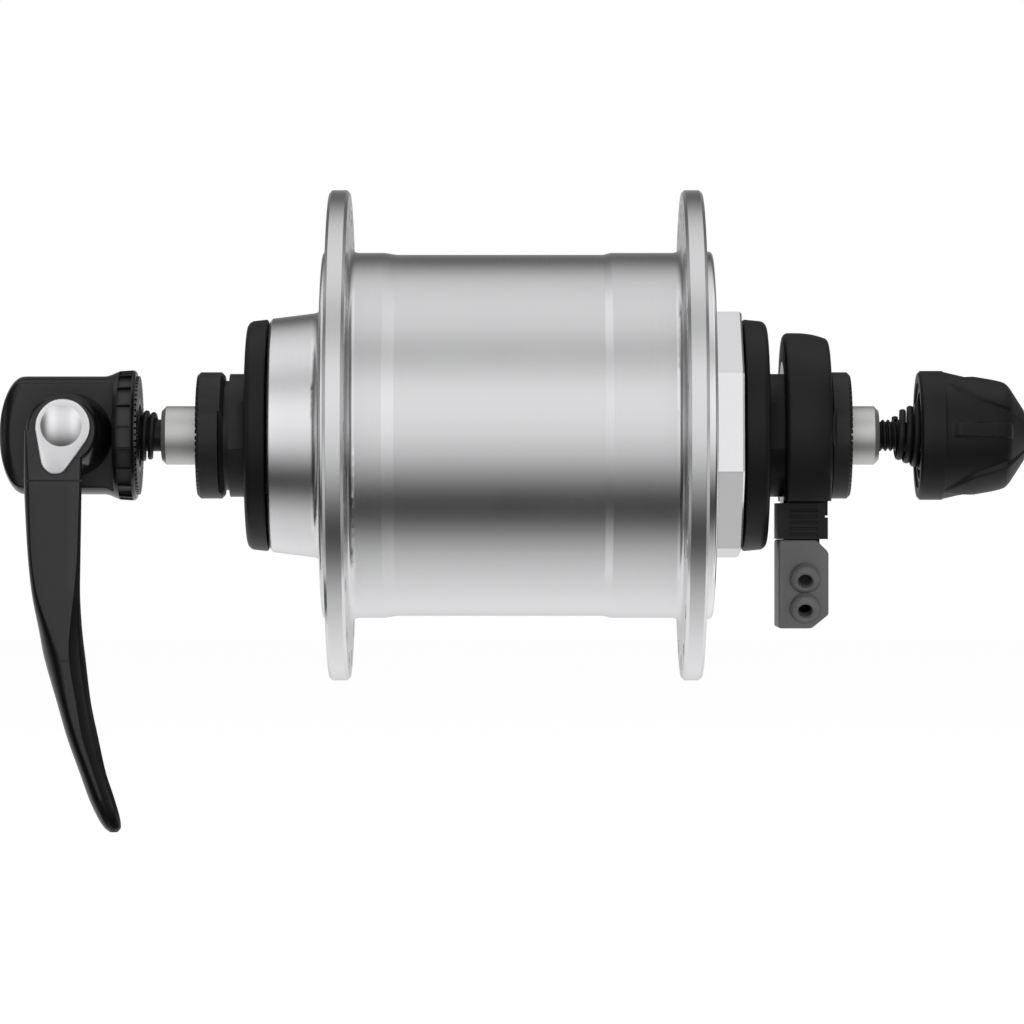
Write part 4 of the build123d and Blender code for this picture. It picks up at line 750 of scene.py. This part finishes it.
# The eye and the hole through it: x, half height and half width
EYE_Y, EYE_SIDES = 70.1, 64
EYE_RINGS = [(-2.4, 5.7, 5.0), (-2.1, 5.85, 5.15), (2.1, 5.85, 5.15), (2.4, 5.7, 5.0)]
EYE_HOLE = [(-3, 4.35, 3.45), (3, 4.35, 3.45)]


def thread_radius(y, turn):
    """The thread's radius at a place along the rod and a share of a turn, with a tapered first turn."""
    phase = ((y - THREAD_FROM) / PITCH + turn) % 1.0
    crest = 1 - abs(2 * phase - 1)
    radius = THREAD_CORE_R + THREAD_HEIGHT * min(max((crest - THREAD_ROOT) / THREAD_FLANK, 0.0), 1.0)
    return min(radius, ROD_TIP_R + (y - THREAD_FROM) * TIP_SLOPE)


def stadium(x, half_z, half_y):
    """A ring square to X with straight sides and round ends, about the middle of the rod's eye."""
    rise = half_z - half_y
    return [(x, EYE_Y + half_y * cos(turn), half_y * sin(turn) + (rise if sin(turn) >= 0 else -rise))
            for turn in full_turn(EYE_SIDES)]


def make_rod():
    rings = [ring_y(THREAD_FROM, ROD_TIP_R, full_turn(ROD_SIDES))]
    count = round((THREAD_TO - THREAD_FROM) / PITCH * STEPS_PER_PITCH)
    for step in range(count + 1):
        y = THREAD_FROM + step * PITCH / STEPS_PER_PITCH
        ring = []
        for n in range(ROD_SIDES):
            turn = n / ROD_SIDES
            radius = thread_radius(y, turn)
            ring.append((radius * cos(2 * pi * turn), y, radius * sin(2 * pi * turn)))
        rings.append(ring)
    rings += [ring_y(y, radius, full_turn(ROD_SIDES)) for y, radius in SHANK]
    eye = skin([stadium(*given) for given in EYE_RINGS])
    rod = cut(joined_with(eye, skin(rings), "UNION"), skin([stadium(*given) for given in EYE_HOLE]))
    settle("skewer_rod_threaded", rod, ("black_steel",), "rod", ("skewer_rod",), crease=50)


# Conical springs, coiled by one tree
# In the tree's own units, metres and radians: the cone is wound from its small end, at Start along the axle
LEFT_COIL = {"Turns": 4.7, "Small Radius": 3.1 * MM, "Large Radius": 4.3 * MM, "Length": 5.0 * MM,
             "Start": 56.4 * MM, "Heading": -pi / 2, "Phase": 0.6,
             "Wire Along": 0.42 * MM, "Wire Across": 0.42 * MM}
RIGHT_COIL = {"Turns": 5.2, "Small Radius": 3.3 * MM, "Large Radius": 6.0 * MM, "Length": 6.0 * MM,
              "Start": -57.1 * MM, "Heading": pi / 2, "Phase": 1.0,
              "Wire Along": 0.5 * MM, "Wire Across": 0.28 * MM}


def coil_tree():
    """A wire wound on a cone along Z, turned by a phase, and then headed along the axle from its start."""
    tree = bpy.data.node_groups.new("conical coil", "GeometryNodeTree")
    for label in LEFT_COIL:
        tree.interface.new_socket(label, in_out="INPUT", socket_type="NodeSocketFloat")
    tree.interface.new_socket("Finish", in_out="INPUT", socket_type="NodeSocketMaterial")
    tree.interface.new_socket("Geometry", in_out="OUTPUT", socket_type="NodeSocketGeometry")
    given = add_node(tree, "NodeGroupInput").outputs
    spiral = output_of(tree, "GeometryNodeCurveSpiral", {
        "Resolution": 48, "Rotations": given["Turns"], "Start Radius": given["Small Radius"],
        "End Radius": given["Large Radius"], "Height": given["Length"]})
    upright = output_of(tree, "GeometryNodeSetCurveNormal", {"Curve": spiral}, mode="Z_UP")
    circle = output_of(tree, "GeometryNodeCurvePrimitiveCircle", {"Resolution": 16, "Radius": 1.0})
    wire_size = vector(tree, given["Wire Across"], given["Wire Along"], 1.0)
    section = output_of(tree, "GeometryNodeTransform", {"Geometry": circle, "Scale": wire_size})
    swept = output_of(tree, "GeometryNodeCurveToMesh",
                      {"Curve": upright, "Profile Curve": section, "Fill Caps": True})
    turned = output_of(tree, "GeometryNodeTransform",
                       {"Geometry": swept, "Rotation": vector(tree, z=given["Phase"])})
    laid = output_of(tree, "GeometryNodeTransform",
                     {"Geometry": turned, "Translation": vector(tree, y=given["Start"]),
                      "Rotation": vector(tree, x=given["Heading"])})
    whole = output_of(tree, "GeometryNodeRealizeInstances", {"Geometry": laid})
    painted = output_of(tree, "GeometryNodeSetMaterial", {"Geometry": whole, "Material": given["Finish"]})
    add_node(tree, "NodeGroupOutput", {"Geometry": painted})
    return tree


def make_spring(name, sizes, body, node):
    """One spring, coiled by the tree to its sizes and settled on its body in place of its node."""
    values = {**sizes, "Finish": finishes["black_steel"]}
    carrier = placed("coil", bpy.data.meshes.new("coil"))
    maker = carrier.modifiers.new("coil", "NODES")
    maker.node_group = conical_coil
    for item in conical_coil.interface.items_tree:
        if item.in_out == "INPUT":
            maker[item.identifier] = values[item.name]
    mesh = cleaned(baked(carrier))
    mesh.materials.clear()
    piece = settle(name, mesh, ("black_steel",), body, (node,), crease=50)
    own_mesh(piece)


# Adjusting nut: a plain band, then three scoops with a rib in each and a flat triangular land between
NUT_FACE = -60.4
# Along the nut from its face: radius over the lands, half angle of a scoop, depth of a scoop
NUT_RADII = [(0.0, 9.5), (0.4, 9.9), (3.75, 9.9), (4.0, 9.86), (8.4, 9.3), (11.6, 8.62), (12.7, 8.32),
             (13.3, 8.08), (13.7, 7.75), (14.1, 7.3), (16.3, 3.9)]
SCOOP_ANGLES = [(3.7, 60.5), (8.4, 43.5), (13.3, 36.0), (16.3, 40.0)]
SCOOP_DEPTHS = [(3.7, 0.0), (3.9, 0.12), (8.4, 0.6), (13.3, 0.8), (16.3, 0.3)]
SCOOPS, SCOOP_FROM, SCOOP_TURN, SCOOP_WALL = 3, 3.7, -2.0, 5.5
RIB_TURN, RIB_HALF, RIB_HEIGHT, RIB_WALL = 7.0, 1.15, 0.62, 0.22
# A rib along the nut: where it starts and ends, and how long it takes to rise and to fall
RIB_FROM, RIB_TO, RIB_RISE, RIB_FALL = 4.6, 14.2, 1.4, 0.35
# The nut's bore from its blind end to its face: radius, and distance from the face
NUT_BORE = [(2.9, 15.0), (2.9, 10.2), (4.62, 10.2), (4.62, 3.2), (6.7, 3.2), (6.7, 1.5), (8.12, 1.5),
            (8.12, 0.0)]


def nut_radius(along, turn):
    """The nut's radius at a distance from its face and a turn in degrees."""
    apart = 360.0 / SCOOPS
    from_scoop = (turn - SCOOP_TURN + apart / 2) % apart - apart / 2
    radius = at(NUT_RADII, along)
    if along <= SCOOP_FROM:
        return radius
    inside = at(SCOOP_ANGLES, along) - abs(from_scoop)
    radius -= at(SCOOP_DEPTHS, along) * soft_step(inside / SCOOP_WALL)
    side = RIB_HALF - radius * radians(abs(from_scoop - RIB_TURN))
    rib = RIB_HEIGHT * soft_step(side / RIB_WALL)
    return radius + rib * soft_step((along - RIB_FROM) / RIB_RISE) * soft_step((RIB_TO - along) / RIB_FALL)


def make_nut():
    steps = [0.0, 0.1, 0.25, 0.4, 2.0, 3.6, 3.7, 3.75, 3.85, 3.95, 4.1]
    steps += [4.3 + 0.2 * n for n in range(45)]
    steps += [13.3 + 0.12 * n for n in range(11)]
    steps += [14.65 + 0.165 * n for n in range(11)]
    profile = [(along, [radius] * 360) for radius, along in NUT_BORE]
    profile += [(along, [nut_radius(along, turn) for turn in range(360)]) for along in steps]
    rings = [[(-radius * cos(radians(turn)), NUT_FACE - along, radius * sin(radians(turn)))
              for turn, radius in enumerate(radii)] for along, radii in profile]
    settle("nut_cover_scooped", skin(rings), ("black_plastic",), "end_nut", ("nut_cover",), crease=40)


# The scene
bpy.context.scene.view_settings.view_transform = "Standard"
place_camera()
light_room()
for lamp_name, (place, power) in LAMPS.items():
    add_lamp(lamp_name, place, power)
lay_floor()

for finish_name, node_names in NODES_BY_FINISH.items():
    for node_name in node_names:
        materials = cad_nodes[node_name].data.materials
        materials.clear()
        materials.append(finishes[finish_name])

make_lever()
make_lever_cap()
make_housing()
make_rod()
make_plug_cap()
make_nut()
conical_coil = coil_tree()
make_spring("left_spring_coil", LEFT_COIL, "left_coil_spring", "left_spring")
make_spring("right_spring_coil", RIGHT_COIL, "right_coil_spring", "right_spring")
